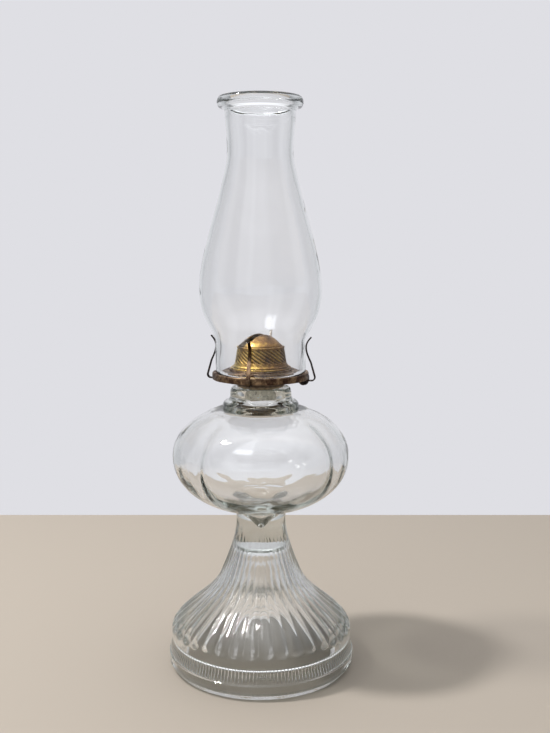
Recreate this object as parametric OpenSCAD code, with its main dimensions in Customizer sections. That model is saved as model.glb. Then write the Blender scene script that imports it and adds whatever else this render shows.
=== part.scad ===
// Kerosene table lamp: fluted glass foot, glass font, flat-wick brass burner and baluster chimney.
// The lamp stands on the XY plane, its axis is Z, and its front looks along -Y.

/* [Glass foot] */
// Widest diameter of the foot's plinth ring
foot_d = 134; // [118:1:161]
// Diameter of the ring the lamp stands on
rest_d = 131; // [112:1:150]
// Height of the plinth ring
plinth_h = 15.5; // [11:0.5:19]
// Height of the fluted bell's widest point
shoulder_z = 27; // [23:0.5:32]
// Height of the stem's slimmest point
stem_z = 108; // [88:1:128]
// Diameter of the stem at its slimmest point
stem_d = 35.2; // [29:0.2:42]
// Number of flutes round the bell
flutes = 38; // [24:2:40]
// Depth of a flute at its widest place
flute_depth = 1.4; // [0.6:0.1:2]
// Thickness of the bell's glass
bell_wall = 7.5; // [5:0.5:9]
// Thickness of the glass at the rim it stands on
rim_wall = 4.5; // [3:0.5:6]

/* [Font] */
// Widest diameter of the font
font_d = 126; // [106:1:150]
// Height of the font's widest place above the stem's slimmest point
font_lift = 46.5; // [42:0.5:56]
// Height of the font's dome above its widest place
font_rise = 38; // [33:0.5:46]
// Depth of the font's bowl below its widest place
font_drop = 40.5; // [35:0.5:41]
// Thickness of the font's glass
font_wall = 4.2; // [3:0.1:6]
// Outer diameter of the ring at the foot of the neck
collar_d = 53.8; // [50:0.2:60]
// Outer diameter of the neck's mouth
mouth_d = 41; // [38:0.5:44]
// Height of the neck from the dome to its mouth
neck_h = 17; // [15:0.5:22]

/* [Burner] */
// Outer diameter of the burner's screw skirt
skirt_d = 22.3; // [18:0.1:26]
// Length of the screw skirt inside the mouth
skirt_h = 8.5; // [6:0.5:12]
// Radial gap between the skirt and the mouth's bore
skirt_gap = 0.3; // [0.2:0.05:0.6]
// Outer diameter of the burner's cup
cup_d = 34; // [32:0.5:38]
// Height of the cup, from the mouth to the underside of its top flange
cup_h = 11.5; // [11:0.5:15]
// Thickness of the burner's sheet brass
sheet = 0.6; // [0.5:0.05:0.8]
// Outer diameter of the gallery's rolled rim
gallery_d = 68.5; // [67.5:0.5:80]
// Radial room between the chimney's fitter and the gallery's rim
seat_room = 1.6; // [1:0.1:3]
// Height of the gallery's rim
rim_h = 4.6; // [4:0.1:5]
// Number of steps from the chimney's seat up to the deflector
steps = 3; // [2:1:4]
// Rise of the gallery from the chimney's seat to the deflector's foot
steps_rise = 3.2; // [2.8:0.1:3.6]
// Number of air holes round the cup
air_holes = 18; // [12:1:20]
// Diameter of the cup's air holes
air_hole_d = 2; // [1.2:0.1:2.2]

/* [Deflector] */
// Diameter of the deflector's foot
deflector_d = 42.6; // [41:0.2:46]
// Diameter of the deflector at its shoulder
shoulder_d = 33; // [31:0.2:36]
// Height of the deflector above the gallery
deflector_h = 25; // [22:0.5:30]
// Length of the flame slot
slot_l = 24; // [20:0.5:26]
// Width of the flame slot
slot_w = 6.5; // [5:0.5:8]

/* [Prongs] */
// Turn of the front prong about the lamp's axis, in degrees to the right
prong_turn = -12; // [-30:1:10]
// Width of a prong at its foot
prong_w = 3.5; // [2.6:0.1:4.4]
// Width of a prong at its tip
prong_tip_w = 2.1; // [1.4:0.1:2.6]
// Thickness of a prong
prong_t = 1; // [0.6:0.05:1.2]
// Gap between a prong's waist and the chimney
prong_gap = 0.3; // [0.2:0.05:0.6]

/* [Wick and winder] */
// Width of the wick
wick_w = 15.9; // [12:0.1:18]
// Thickness of the wick
wick_t = 2.5; // [2:0.1:3]
// Length of the wick
wick_l = 38; // [32:1:40]
// Gap between the wick and its tube
wick_gap = 0.25; // [0.15:0.05:0.4]
// Height of the wick tube above the mouth
tube_top = 32; // [30:0.5:34]
// Direction of the spindle about the lamp's axis, in degrees to the right of the front
winder_turn = 130; // [115:1:145]
// Diameter of the spindle
spindle_d = 1.8; // [1.4:0.1:2]
// Height of the spindle above the mouth
spindle_up = 3; // [2.8:0.1:3.2]
// Running clearance round the spindle
spindle_gap = 0.05; // [0.02:0.01:0.1]
// Tip diameter of a spur wheel
wheel_d = 7; // [6.4:0.1:7.4]
// Thickness of a spur wheel
wheel_t = 1; // [0.7:0.1:1.2]
// Number of teeth on a spur wheel
wheel_teeth = 10; // [8:1:14]
// Diameter of the thumb wheel
knob_d = 11.4; // [9:0.2:14]
// Thickness of the thumb wheel
knob_t = 2.2; // [1.6:0.1:3]

/* [Chimney] */
// Height of the chimney
chimney_h = 189.5; // [160:0.5:228]
// Outer diameter of the chimney's fitter
fitter_d = 63.5; // [60:0.5:64]
// Diameter of the chimney's belly
belly_d = 86; // [78:1:96]
// Diameter of the chimney's throat
throat_d = 45.6; // [40:0.2:52]
// Diameter of the chimney's rolled lip
lip_d = 59.2; // [54:0.2:66]
// Thickness of the chimney's glass
chimney_wall = 2.6; // [1.8:0.1:3.2]

/* [Hidden] */

glass = [0.84, 0.91, 0.89, 0.45];
brass = [0.72, 0.56, 0.27];
dark_brass = [0.35, 0.25, 0.17];
blackened = [0.14, 0.11, 0.10];
cotton = [0.83, 0.79, 0.68];

// Glass curves, each point as radius and height
bell_knee = [29.7 / 67 * foot_d / 2, stem_z * 0.615];
bell_upper = [[stem_d / 2, stem_z], [stem_d / 2, stem_z * 0.9],
              [stem_d / 2 + 5.1, stem_z * 0.763], bell_knee];
bell_lower = [bell_knee, 2 * bell_knee - bell_upper[2],
              [foot_d / 2 - 1.7, shoulder_z + 10], [foot_d / 2 - 1.7, shoulder_z]];
join_t = 1 / 3;
join_p = bez(bell_upper, join_t);
flute_cols = 4;
flute_turn = 0.8;
petal_z = shoulder_z + 2;

font_z = stem_z + font_lift;
neck_z = font_z + font_rise - 5.5;
mouth_z = neck_z + neck_h;
mouth_bore_r = skirt_d / 2 + skirt_gap;
font_power = 2.1;

// Burner levels
flange_z = mouth_z + cup_h;
screen_t = 0.4;
plate = 0.7;
deck_z = flange_z + sheet + screen_t + plate;
seat_z = deck_z - steps_rise;
fitter_r = fitter_d / 2;
bead_r = 0.55;
rim_wall_r = fitter_r + seat_room;
gallery_r = max(gallery_d / 2, rim_wall_r + plate + 0.2);
deck_hole_r = cup_d / 2 - 1.2;
seat_in_r = fitter_r - chimney_wall - 0.6;
deck_out_r = deflector_d / 2 + 1.1;

// Winder places: d runs along the spindle, n across the wick
tube_wall = 0.5;
tube_half_t = wick_t / 2 + wick_gap + tube_wall;
tube_half_w = wick_w / 2 + wick_gap + tube_wall;
bite = 0.8;
wheel_gap = 0.3;
spindle_r = spindle_d / 2;
spindle_n = wick_t / 2 + wheel_d / 2 - bite;
spindle_z = mouth_z + spindle_up;
wheel_d_at = wick_w / 4;
cheek_d = wheel_d_at + wheel_t / 2 + 1.4;
sleeve_r = spindle_r + spindle_gap + 0.8;
knob_at = gallery_r + 1.4;
wick_top_z = mouth_z + tube_top - 1.5;

// Chimney places
lip_half_h = 3.9;
lip_half_w = 2.6;
lip_over_throat = 11;
lip_r = max(lip_d, throat_d + lip_over_throat) / 2;
chimney_top_z = seat_z + chimney_h;
lip_z = chimney_top_z - lip_half_h;
belly_z = seat_z + chimney_h * 0.306;
throat_z = seat_z + chimney_h * 0.813;

function bez(p, t) = pow(1 - t, 3) * p[0] + 3 * pow(1 - t, 2) * t * p[1]
                   + 3 * (1 - t) * t * t * p[2] + pow(t, 3) * p[3];

function curve(p, n, t0 = 0, t1 = 1) = [for (i = [0:n]) bez(p, t0 + (t1 - t0) * i / n)];

// Superelliptic quarter from angle a0 to a1 about the height z
function oval(rx, rz, z, a0, a1, n) = [for (i = [0:n]) let (a = a0 + (a1 - a0) * i / n)
    [rx * pow(abs(cos(a)), 2 / font_power), z + sign(sin(a)) * rz * pow(abs(sin(a)), 2 / font_power)]];

function arc(c, rx, rz, a0, a1, n) = [for (i = [0:n]) let (a = a0 + (a1 - a0) * i / n)
    [c[0] + rx * cos(a), c[1] + rz * sin(a)]];

// The path moved to its left by t, which is towards the axis when it climbs
function inset(p, t) = [for (i = [0:len(p) - 1])
    let (d = p[min(i + 1, len(p) - 1)] - p[max(i - 1, 0)]) p[i] + t * [-d[1], d[0]] / norm(d)];

function flip(p) = [for (i = [len(p) - 1:-1:0]) p[i]];

module turned(p) {
    rotate_extrude($fn = 144) polygon(p);
}

// Puts a child that points along -Y at a bearing to the right of the front
module bearing(a) {
    rotate([0, 0, a]) children();
}

// Child frame of the winder: X runs out along the spindle, Y across the wick, Z up
module winder() {
    rotate([0, 0, winder_turn - 90]) mirror([0, 1, 0]) children();
}

module along_spindle(from, to, r) {
    winder() translate([from, spindle_n, spindle_z]) rotate([0, 90, 0])
        cylinder(r = r, h = to - from, $fn = 32);
}

// Foot

// The bell's profile from the join in the stem down to the shoulder, as [radius, height]
knee_rows = 10;
bell_p = concat(curve(bell_upper, 7, join_t, 1), [for (i = [1:knee_rows]) bez(bell_lower, i / knee_rows)]);

// Depth of the flutes at height z, across u from -1 at one ridge to 1 at the next
function petal_end(u) = petal_z + 4.5 * (1 - sqrt(max(0, 1 - u * u)));
function rise(x) = let (s = min(1, max(0, x))) s * s * (3 - 2 * s);
function flute(r, z, u) = flute_depth * min(1, r / (foot_d * 0.45)) * (1 - u * u)
                        * rise((z - petal_end(u)) / 5) * rise((stem_z - 6 - z) / 14);

// Plinth, from the cove under the shoulder past its moulded line to the rim it stands on
plinth_r = foot_d / 2;
line_z = plinth_h * 0.72;
line_step = 0.45;
plinth_p = [[plinth_r - 1.9, shoulder_z - 4], [plinth_r - 2.4, plinth_h + 3], [plinth_r - 1.2, plinth_h + 0.9],
            [plinth_r - line_step, plinth_h - 1], [plinth_r - line_step, line_z + line_step],
            [plinth_r, line_z], [plinth_r, 5], [plinth_r - 0.3, 2.5], [rest_d / 2, 0]];

// Hollow under the bell, from the rim past the small ledge over the ribs up to its top
hollow_r = rest_d / 2 - rim_wall;
hollow_p = [[hollow_r, 0], [hollow_r - 0.8, plinth_h * 0.6], [hollow_r - 2.3, plinth_h + 5],
            [hollow_r - 4.4, plinth_h + 6.2], [plinth_r - bell_wall - 3.5, shoulder_z + 3],
            [plinth_r - bell_wall - 9, shoulder_z + 10],
            [bell_knee[0] + 10, bell_knee[1] - 18], [bell_knee[0] - 0.5, bell_knee[1] - 8],
            [bell_knee[0] - 8, bell_knee[1] + 2.5], [bell_knee[0] - 12.5, bell_knee[1] + 12],
            [stem_d / 2 - 2.1, join_p[1] - 13.2], [stem_d / 2 - 3.6, join_p[1] - 10.9],
            [stem_d / 2 - 7.6, join_p[1] - 9.3], [stem_d / 2 - 12, join_p[1] - 8.8]];

module pedestal_base() {
    cols = flutes * flute_cols;
    rows = concat(bell_p, plinth_p, hollow_p);
    pts = [for (k = [0:len(rows) - 1]) for (c = [0:cols - 1])
        let (a = 360 * c / cols - 90 - flute_turn,
             u = 2 * (c % flute_cols) / flute_cols - 1,
             d = k < len(bell_p) ? flute(rows[k][0], rows[k][1], u) : 0,
             r = rows[k][0] - d)
        [r * cos(a), r * sin(a), rows[k][1]]];
    walls = [for (k = [0:len(rows) - 2]) for (c = [0:cols - 1]) let (e = (c + 1) % cols)
        each [[k * cols + c, k * cols + e, (k + 1) * cols + e],
              [k * cols + c, (k + 1) * cols + e, (k + 1) * cols + c]]];
    top = [for (c = [cols - 1:-1:0]) c];
    crown = [for (c = [0:cols - 1]) (len(rows) - 1) * cols + c];
    color(glass) polyhedron(pts, concat(walls, [top, crown]), convexity = 6);
}

// Font

module font() {
    fillet = [[stem_d / 2, stem_z], [stem_d / 2, stem_z + 4], [stem_d / 2 + 1, stem_z + 7.4],
              [stem_d / 2 + 4.5, font_z - font_drop + 2.6]];
    bowl = [for (q = oval(font_d / 2, font_drop, font_z, -80, 0, 20)) if (q[0] > stem_d / 2 + 5) q];
    crown = [for (q = oval(font_d / 2, font_rise, font_z, 0, 80, 20)) if (q[0] > collar_d / 2 + 2) q];
    collar = collar_d / 2;
    mouth = mouth_d / 2;
    neck = [[collar + 0.3, neck_z + 0.6], [collar, neck_z + 1.2], [collar, neck_z + 4.5],
            [collar - 0.6, neck_z + 5.8], [collar - 2, neck_z + 7.2], [mouth + 2, neck_z + neck_h * 0.52],
            [mouth + 1.4, neck_z + neck_h * 0.6], [mouth + 1.6, neck_z + neck_h * 0.67],
            [mouth + 0.5, neck_z + neck_h * 0.76], [mouth + 0.6, neck_z + neck_h * 0.86],
            [mouth + 0.2, neck_z + neck_h * 0.94], [mouth - 0.9, mouth_z]];
    outside = concat(curve(bell_upper, 6, join_t, 0), [for (i = [1:5]) bez(fillet, i / 5)], bowl,
                     [for (i = [1:len(crown) - 1]) crown[i]], neck);
    bore = [[mouth_bore_r + 0.7, mouth_z], [mouth_bore_r, mouth_z - 0.7], [mouth_bore_r, neck_z + 6.5],
            [mouth_bore_r + 2, neck_z + 3.6], [mouth_bore_r + 6.5, neck_z + 1.4]];
    in_r = font_d / 2 - font_wall;
    roof = [for (q = oval(in_r, font_rise - font_wall, font_z, 80, 0, 18))
        if (q[0] > mouth_bore_r + 8.5) q];
    floor_z = font_z - font_drop + font_wall + 2;
    pan = [for (q = oval(in_r, font_z - floor_z, font_z, 0, -80, 20)) if (q[0] > stem_d / 2 - 2) q];
    drip = [[stem_d / 2 - 4, floor_z - 0.4], [stem_d / 2 - 8.5, floor_z - 4.5],
            [stem_d / 2 - 12.5, floor_z - 11], [stem_d / 2 - 15.3, join_p[1] + 8], [0, join_p[1] + 5.3]];
    inside = concat(bore, roof, [for (i = [1:len(pan) - 1]) pan[i]], drip);
    color(glass) turned(concat([[0, join_p[1]]], outside, inside));
}

// Burner

module stadium(half_l, half_w) {
    square([2 * (half_l - half_w), 2 * half_w], center = true);
    for (s = [-1, 1]) translate([s * (half_l - half_w), 0]) circle(r = half_w, $fn = 32);
}

vent_r = 1.3;
vent_n = -tube_half_t - vent_r - 0.4;

module burner_body() {
    skirt_r = skirt_d / 2;
    cup_r = cup_d / 2;
    rest_r = cup_r - 2.2;
    floor_z = mouth_z - skirt_h + 1.5;
    color(dark_brass) difference() {
        turned([[0, floor_z], [skirt_r - sheet, floor_z], [skirt_r - sheet, mouth_z - skirt_h],
                [skirt_r, mouth_z - skirt_h], [skirt_r, mouth_z], [rest_r - 0.4, mouth_z],
                [rest_r, mouth_z + 0.4], [rest_r, mouth_z + 1.2], [rest_r - 0.3, mouth_z + 1.5],
                [cup_r - 1.4, mouth_z + 1.9], [cup_r - 0.5, mouth_z + 2.8], [cup_r, mouth_z + 4.2],
                [cup_r, flange_z], [deflector_d / 2 - 1, flange_z], [deflector_d / 2 - 1, flange_z + sheet],
                [cup_r - sheet, flange_z + sheet], [cup_r - sheet, mouth_z + 4.3],
                [cup_r - 0.5 - sheet, mouth_z + 3.1], [cup_r - 1.4 - sheet / 2, mouth_z + 1.9 + sheet],
                [rest_r - 0.9, mouth_z + 1.5 + sheet], [rest_r - 0.9, mouth_z + sheet],
                [skirt_r - sheet, mouth_z + sheet], [skirt_r - sheet, floor_z + sheet],
                [0, floor_z + sheet]]);
        winder() translate([0, 0, floor_z - 1]) linear_extrude(3) stadium(tube_half_w, tube_half_t);
        winder() translate([0, vent_n, floor_z - 1]) cylinder(r = vent_r, h = 3, $fn = 24);
        along_spindle(cup_r - 6, cup_r + 3, sleeve_r);
        for (i = [0:air_holes - 1])
            bearing(i * 360 / air_holes + winder_turn + 4) translate([0, -cup_r + 2, flange_z - 3.2])
                rotate([90, 0, 0]) cylinder(d = air_hole_d, h = 4, $fn = 20);
    }
}

module air_screen() {
    color(brass) difference() {
        translate([0, 0, flange_z + sheet]) cylinder(r = deflector_d / 2 - 1, h = screen_t, $fn = 96);
        winder() translate([0, 0, flange_z]) linear_extrude(3)
            stadium(tube_half_w + 0.1, tube_half_t + 0.1);
        for (ring = [0:2]) for (i = [0:17 + 3 * ring]) {
            a = i * 360 / (18 + 3 * ring) + ring * 7;
            r = 10.2 + 2.2 * ring;
            x = r * cos(a);
            y = r * sin(a);
            if (abs(y) > tube_half_t + 1.1 || abs(x) > tube_half_w + 1.1)
                winder() translate([x, y, flange_z]) cylinder(r = 0.55, h = 2, $fn = 16);
        }
    }
}

module wick_tube() {
    window_h = 2 * sqrt(pow(wheel_d / 2, 2) - pow(spindle_n - tube_half_t, 2)) + 2 * wheel_gap;
    foot_z = mouth_z - skirt_h - 2;
    color(brass) winder() difference() {
        translate([0, 0, foot_z]) linear_extrude(mouth_z + tube_top - foot_z) difference() {
            stadium(tube_half_w, tube_half_t);
            stadium(tube_half_w - tube_wall, tube_half_t - tube_wall);
        }
        for (s = [-1, 1])
            translate([s * wheel_d_at, tube_half_t, spindle_z])
                cube([wheel_t + 2 * wheel_gap, 2 * tube_wall + 0.6, window_h], center = true);
    }
}

module vent_tube() {
    color(brass) winder() translate([0, vent_n, mouth_z - skirt_h - 3]) difference() {
        cylinder(r = vent_r, h = skirt_h + 9, $fn = 24);
        translate([0, 0, -1]) cylinder(r = vent_r - 0.45, h = skirt_h + 12, $fn = 24);
    }
}

// Folded saddle with two cheeks that carries the inner end of the spindle
module wheel_housing() {
    low = mouth_z + sheet + 0.2;
    high = spindle_z + spindle_r + 2.6;
    back = spindle_n + wheel_d / 2 + 0.35;
    color(brass) difference() {
        winder() translate([-cheek_d - sheet, tube_half_t, low]) difference() {
            cube([2 * (cheek_d + sheet), back + sheet - tube_half_t, high - low]);
            translate([sheet, -1, -1]) cube([2 * cheek_d, back - tube_half_t + 1, high - low + 2]);
        }
        along_spindle(-cheek_d - 2, cheek_d + 2, spindle_r + spindle_gap);
    }
}

module spindle_sleeve() {
    color(brass) difference() {
        along_spindle(cheek_d + 3.5, gallery_r - 8, sleeve_r);
        along_spindle(cheek_d, gallery_r, spindle_r + spindle_gap);
    }
}

module wick_spindle() {
    color(brass) {
        along_spindle(-cheek_d - sheet - 0.8, knob_at + knob_t + 0.3, spindle_r);
        along_spindle(knob_at + knob_t, knob_at + knob_t + 0.5, spindle_r + 0.5);
    }
}

// Toothed wheel on the spindle, its middle at x along the spindle
module spur_wheel(x) {
    tip = wheel_d / 2;
    root = tip - 1;
    color(brass) difference() {
        winder() translate([x - wheel_t / 2, spindle_n, spindle_z]) rotate([0, 90, 0])
            linear_extrude(wheel_t) polygon([for (i = [0:4 * wheel_teeth - 1])
                let (a = (i + 0.5) * 90 / wheel_teeth, r = i % 4 < 2 ? tip : root)
                [r * cos(a), r * sin(a)]]);
        along_spindle(x - wheel_t, x + wheel_t, spindle_r);
    }
}

module spur_wheel_inner() {
    spur_wheel(-wheel_d_at);
}

module spur_wheel_outer() {
    spur_wheel(wheel_d_at);
}

// Thumb wheel with a milled edge, a dished outer face and a boss towards the lamp
module wick_knob() {
    ribs = 26;
    rib_depth = 0.35;
    color(blackened) difference() {
        union() {
            winder() translate([knob_at, spindle_n, spindle_z]) rotate([0, 90, 0])
                linear_extrude(knob_t) polygon([for (i = [0:4 * ribs - 1])
                    let (a = i * 90 / ribs, r = knob_d / 2 - (i % 4 < 2 ? 0 : rib_depth))
                    [r * cos(a), r * sin(a)]]);
            along_spindle(knob_at - 1.4, knob_at + 1, spindle_r + 1.1);
        }
        difference() {
            along_spindle(knob_at + knob_t - 0.7, knob_at + knob_t + 1, knob_d / 2 - 1.3);
            along_spindle(knob_at + knob_t - 1, knob_at + knob_t, spindle_r + 1.1);
        }
        along_spindle(knob_at - 2, knob_at + knob_t + 1, spindle_r);
    }
}

// Flat woven wick with the two tracks that the spur wheels press into it
module wick() {
    track = bite + wheel_gap;
    track_w = wheel_t + 2 * wheel_gap;
    low = wick_top_z - wick_l;
    color(cotton) winder() difference() {
        translate([0, 0, low]) linear_extrude(wick_l) stadium(wick_w / 2, wick_t / 2);
        for (s = [-1, 1])
            translate([s * wheel_d_at - track_w / 2, wick_t / 2 - track, low - 1])
                cube([track_w, track + 1, wick_l + 2]);
    }
}

// Stepped plate, as one strip of sheet from the rolled rim in to the deck under the deflector
module gallery() {
    run = (seat_in_r - deck_out_r) / (steps - 1);
    lift = steps_rise / steps;
    treads = [for (i = [0:steps - 1]) each [[seat_in_r - i * run, seat_z + i * lift],
                                            [seat_in_r - i * run, seat_z + (i + 1) * lift]]];
    under = [for (p = treads) p - [plate, plate]];
    wall = gallery_r - plate;
    color(dark_brass) turned(concat(
        [[gallery_r, seat_z - 0.7], [gallery_r - 0.15, seat_z], [wall + 0.15, seat_z + 0.45],
         [wall - 0.3, seat_z + 0.35], [wall - 0.5, seat_z]],
        treads, [[deck_hole_r, deck_z], [deck_hole_r, deck_z - plate]], flip(under),
        [[wall - 0.3, seat_z - plate], [wall, seat_z - plate - 0.1], [wall, seat_z + 1.5 - rim_h]],
        arc([gallery_r - bead_r, seat_z + 1 - rim_h], bead_r, bead_r, 130, 380, 10)));
}

// Brass dome over the wick, open below, with the flame slot across its top
module deflector() {
    foot = deflector_d / 2;
    neck = shoulder_d / 2;
    top = deck_z + deflector_h;
    cap_h = 8.6;
    cap_r = neck - 0.9;
    cap_z = top - cap_h;
    ball_r = (cap_r * cap_r + cap_h * cap_h) / (2 * cap_h);
    skirt = [[foot, deck_z], [foot, deck_z + 0.7], [foot - 1.2, deck_z + 1.1]];
    flare = curve([[foot - 1.3, deck_z + 1.3], [foot - 2.6, deck_z + 4.5], [neck + 0.9, deck_z + 9],
                   [neck, cap_z - 1.5]], 8);
    shoulder = [[neck + 0.35, cap_z - 1.2], [neck + 0.35, cap_z - 0.5], [neck - 0.2, cap_z - 0.15]];
    cap = [for (i = [0:7]) let (a = 90 - asin(cap_r / ball_r) * (1 - i / 8))
        [ball_r * cos(a), top - ball_r + ball_r * sin(a)]];
    inner = inset(concat(flare, cap), plate);
    color(brass) difference() {
        turned(concat(skirt, flare, shoulder, cap, [[0, top]], [[0, top - plate]], flip(inner),
                      [[foot - 2.1, deck_z + 0.7], [foot - 2.1, deck_z]]));
        winder() translate([-slot_l / 2, -slot_w / 2, cap_z + 2]) cube([slot_l, slot_w, 12]);
    }
}

// Spring strip hooked round the gallery's rim: its middle line as [radius, height]
module prong(turn) {
    under_z = seat_z - plate - prong_t / 2;
    inside_r = gallery_r - 2 * bead_r - 0.25 - prong_t / 2;
    low_z = seat_z + 1 - rim_h - bead_r - 0.25 - prong_t / 2;
    waist_r = fitter_r + prong_gap + prong_t / 2;
    belly = 2.4;
    hook = concat([[inside_r - 6, under_z]], arc([inside_r - 1, under_z - 1], 1, 1, 90, 0, 4),
                  arc([inside_r + 1, low_z + 1], 1, 1, 180, 270, 4),
                  arc([gallery_r + 2.2, low_z + belly], belly, belly, 270, 375, 8));
    arm = curve([[waist_r + 3.4, seat_z + 8], [waist_r + 1, seat_z + 13], [waist_r, seat_z + 15.5],
                 [waist_r, seat_z + 18.5]], 6);
    tip = curve([[waist_r, seat_z + 18.5], [waist_r, seat_z + 21.5], [waist_r + 1.6, seat_z + 23.5],
                 [waist_r + 3.6, seat_z + 25.6]], 6);
    line = concat(hook, arm, [for (i = [1:6]) tip[i]]);
    strip = concat(inset(line, prong_t / 2), flip(inset(line, -prong_t / 2)));
    color(blackened) bearing(turn) intersection() {
        rotate([90, 0, -90]) linear_extrude(prong_w, center = true) polygon(strip);
        rotate([90, 0, 0]) linear_extrude(2 * gallery_d)
            polygon([[-prong_w / 2, 0], [prong_w / 2, 0], [prong_w / 2, seat_z],
                     [prong_tip_w / 2, seat_z + 27], [-prong_tip_w / 2, seat_z + 27],
                     [-prong_w / 2, seat_z]]);
    }
}

module prong_front() {
    prong(prong_turn);
}

module prong_right() {
    prong(prong_turn + 90);
}

module prong_back() {
    prong(prong_turn + 180);
}

module prong_left() {
    prong(prong_turn + 270);
}

// Chimney

module chimney() {
    belly = belly_d / 2;
    throat = throat_d / 2;
    top_r = throat + 1.6;
    fitter_top = seat_z + chimney_h * 0.116;
    lower = curve([[fitter_r, fitter_top], [fitter_r, fitter_top + 6.5], [belly, fitter_top + 15],
                   [belly, belly_z]], 12);
    upper = curve([[belly, belly_z], [belly, belly_z + 28], [throat, throat_z - 21.5],
                   [throat, throat_z]], 16);
    neck = curve([[throat, throat_z], [throat, throat_z + 8], [top_r - 0.2, throat_z + 14],
                  [top_r, lip_z - lip_half_h - 2.4]], 4);
    body = concat([[fitter_r, seat_z]], lower, [for (i = [1:16]) upper[i]], [for (i = [1:4]) neck[i]]);
    under = [[top_r + 0.6, lip_z - lip_half_h - 1.1], [top_r + 2, lip_z - lip_half_h - 0.2]];
    edge = arc([lip_r - lip_half_w, lip_z], lip_half_w, lip_half_h, -80, 105, 12);
    bore = inset(body, chimney_wall);
    mouth_w = lip_r - lip_half_w - top_r + chimney_wall;
    mouth = [for (q = [[0.62, 1], [0.3, 2.8], [0.08, 5]])
        [top_r - chimney_wall + q[0] * mouth_w, chimney_top_z - q[1]]];
    color(glass) turned(concat(body, under, edge, mouth, flip(bore)));
}

pedestal_base();
font();
burner_body();
air_screen();
wick_tube();
vent_tube();
wheel_housing();
spindle_sleeve();
wick_spindle();
spur_wheel_inner();
spur_wheel_outer();
wick_knob();
wick();
gallery();
deflector();
prong_front();
prong_right();
prong_back();
prong_left();
chimney();
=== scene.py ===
"""Looks of a kerosene table lamp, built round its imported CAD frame.

The lamp's glass, chimney, gallery, deflector, prongs and wick are surfaces worked out with numpy. Their sizes
are in metres, in the frame's own axes: the lamp's axis is Z and its front looks along -Y.
"""

import math

import bpy
import numpy as np
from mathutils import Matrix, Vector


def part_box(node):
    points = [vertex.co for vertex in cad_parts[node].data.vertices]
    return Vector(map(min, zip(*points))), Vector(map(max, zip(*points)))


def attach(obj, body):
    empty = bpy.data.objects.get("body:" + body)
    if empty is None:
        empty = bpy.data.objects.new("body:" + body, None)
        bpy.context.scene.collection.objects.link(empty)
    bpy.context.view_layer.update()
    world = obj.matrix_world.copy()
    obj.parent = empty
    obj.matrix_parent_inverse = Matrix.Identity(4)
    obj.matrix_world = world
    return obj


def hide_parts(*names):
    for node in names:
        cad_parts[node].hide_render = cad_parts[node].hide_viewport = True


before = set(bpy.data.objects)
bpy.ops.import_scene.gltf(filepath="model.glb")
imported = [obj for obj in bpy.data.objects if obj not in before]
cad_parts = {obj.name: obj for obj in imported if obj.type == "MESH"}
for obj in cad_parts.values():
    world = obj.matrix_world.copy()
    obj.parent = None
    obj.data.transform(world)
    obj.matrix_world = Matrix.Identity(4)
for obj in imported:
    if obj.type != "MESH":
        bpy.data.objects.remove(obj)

bl_info = {
    "name": "Kerosene table lamp",
    "version": (1, 0, 0),
    "blender": (4, 5, 0),
    "location": "3D View > Sidebar > Lamp",
    "description": "Builds the glass, brass and wick of a flat-wick kerosene table lamp",
    "category": "Add Mesh",
}

MM = 0.001
TAU = 2 * math.pi


def srgb(code, alpha=None):
    """Linear colour of an sRGB hex code: c / 12.92 up to 0.04045, and ((c + 0.055) / 1.055) ^ 2.4 above it."""
    parts = [int(code[i : i + 2], 16) / 255 for i in (0, 2, 4)]
    linear = [c / 12.92 if c <= 0.04045 else ((c + 0.055) / 1.055) ** 2.4 for c in parts]
    return tuple(linear) if alpha is None else (*linear, alpha)


def span(node, axis):
    """Length of a CAD node's box along one axis."""
    low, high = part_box(node)
    return high[axis] - low[axis]


def top_of(node):
    """Height of a CAD node's highest point."""
    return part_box(node)[1][2]


def length(name, text, value):
    """A length property with its name, description and default in metres."""
    return bpy.props.FloatProperty(name=name, description=text, default=value, min=0.0, unit="LENGTH", precision=5)


def count(name, text, value):
    """A whole-number property."""
    return bpy.props.IntProperty(name=name, description=text, default=value, min=1)


def colour(name, text, code):
    """A colour property from an sRGB hex code."""
    return bpy.props.FloatVectorProperty(
        name=name, description=text, subtype="COLOR", size=3, min=0, max=1, default=srgb(code)
    )


def angle(name, text, degrees):
    """An angle property, its default given in degrees."""
    return bpy.props.FloatProperty(name=name, description=text, default=math.radians(degrees), subtype="ANGLE")


class LampGlassSizes(bpy.types.PropertyGroup):
    """Sizes of the fused glass foot, stem and font."""

    foot_d: length("Foot diameter", "Widest diameter of the plinth ring", span("pedestal_base", 0))
    flutes: count("Flutes", "Number of flutes round the bell", 38)
    flute_turn: angle("Flute turn", "Turn of the first ridge from the front", -0.8)
    flute_depth: length("Flute depth", "Depth of a flute at its widest place", 1.6 * MM)
    ribs: count("Ribs", "Number of fine ribs inside the plinth", 152)
    rib_depth: length("Rib depth", "Depth of the fine ribs inside the plinth", 0.95 * MM)
    font_d: length("Font diameter", "Widest diameter of the font", span("font", 0))
    panels: count("Optic panels", "Number of broad panels inside the font", 4)
    panel_turn: angle("Panel turn", "Turn of the front panel's middle from the front", 6.5)
    front_panel: angle("Front panel", "Width of the front panel, the others share the rest", 99.7)
    panel_depth: length("Panel depth", "Height of the ridges between the panels", 1.3 * MM)
    mouth_d: length("Mouth diameter", "Outer diameter of the neck's mouth", 41 * MM)


class ChimneySizes(bpy.types.PropertyGroup):
    """Sizes of the glass chimney."""

    height: length("Height", "Height of the chimney", span("chimney", 2))
    fitter_d: length("Fitter diameter", "Outer diameter of the straight foot", 63.5 * MM)
    belly_d: length("Belly diameter", "Diameter of the belly", span("chimney", 0))
    throat_d: length("Throat diameter", "Diameter of the throat", 45.6 * MM)
    lip_d: length("Lip diameter", "Diameter of the rolled lip", 59.2 * MM)
    wall: length("Wall", "Thickness of the glass", 2.6 * MM)


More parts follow.
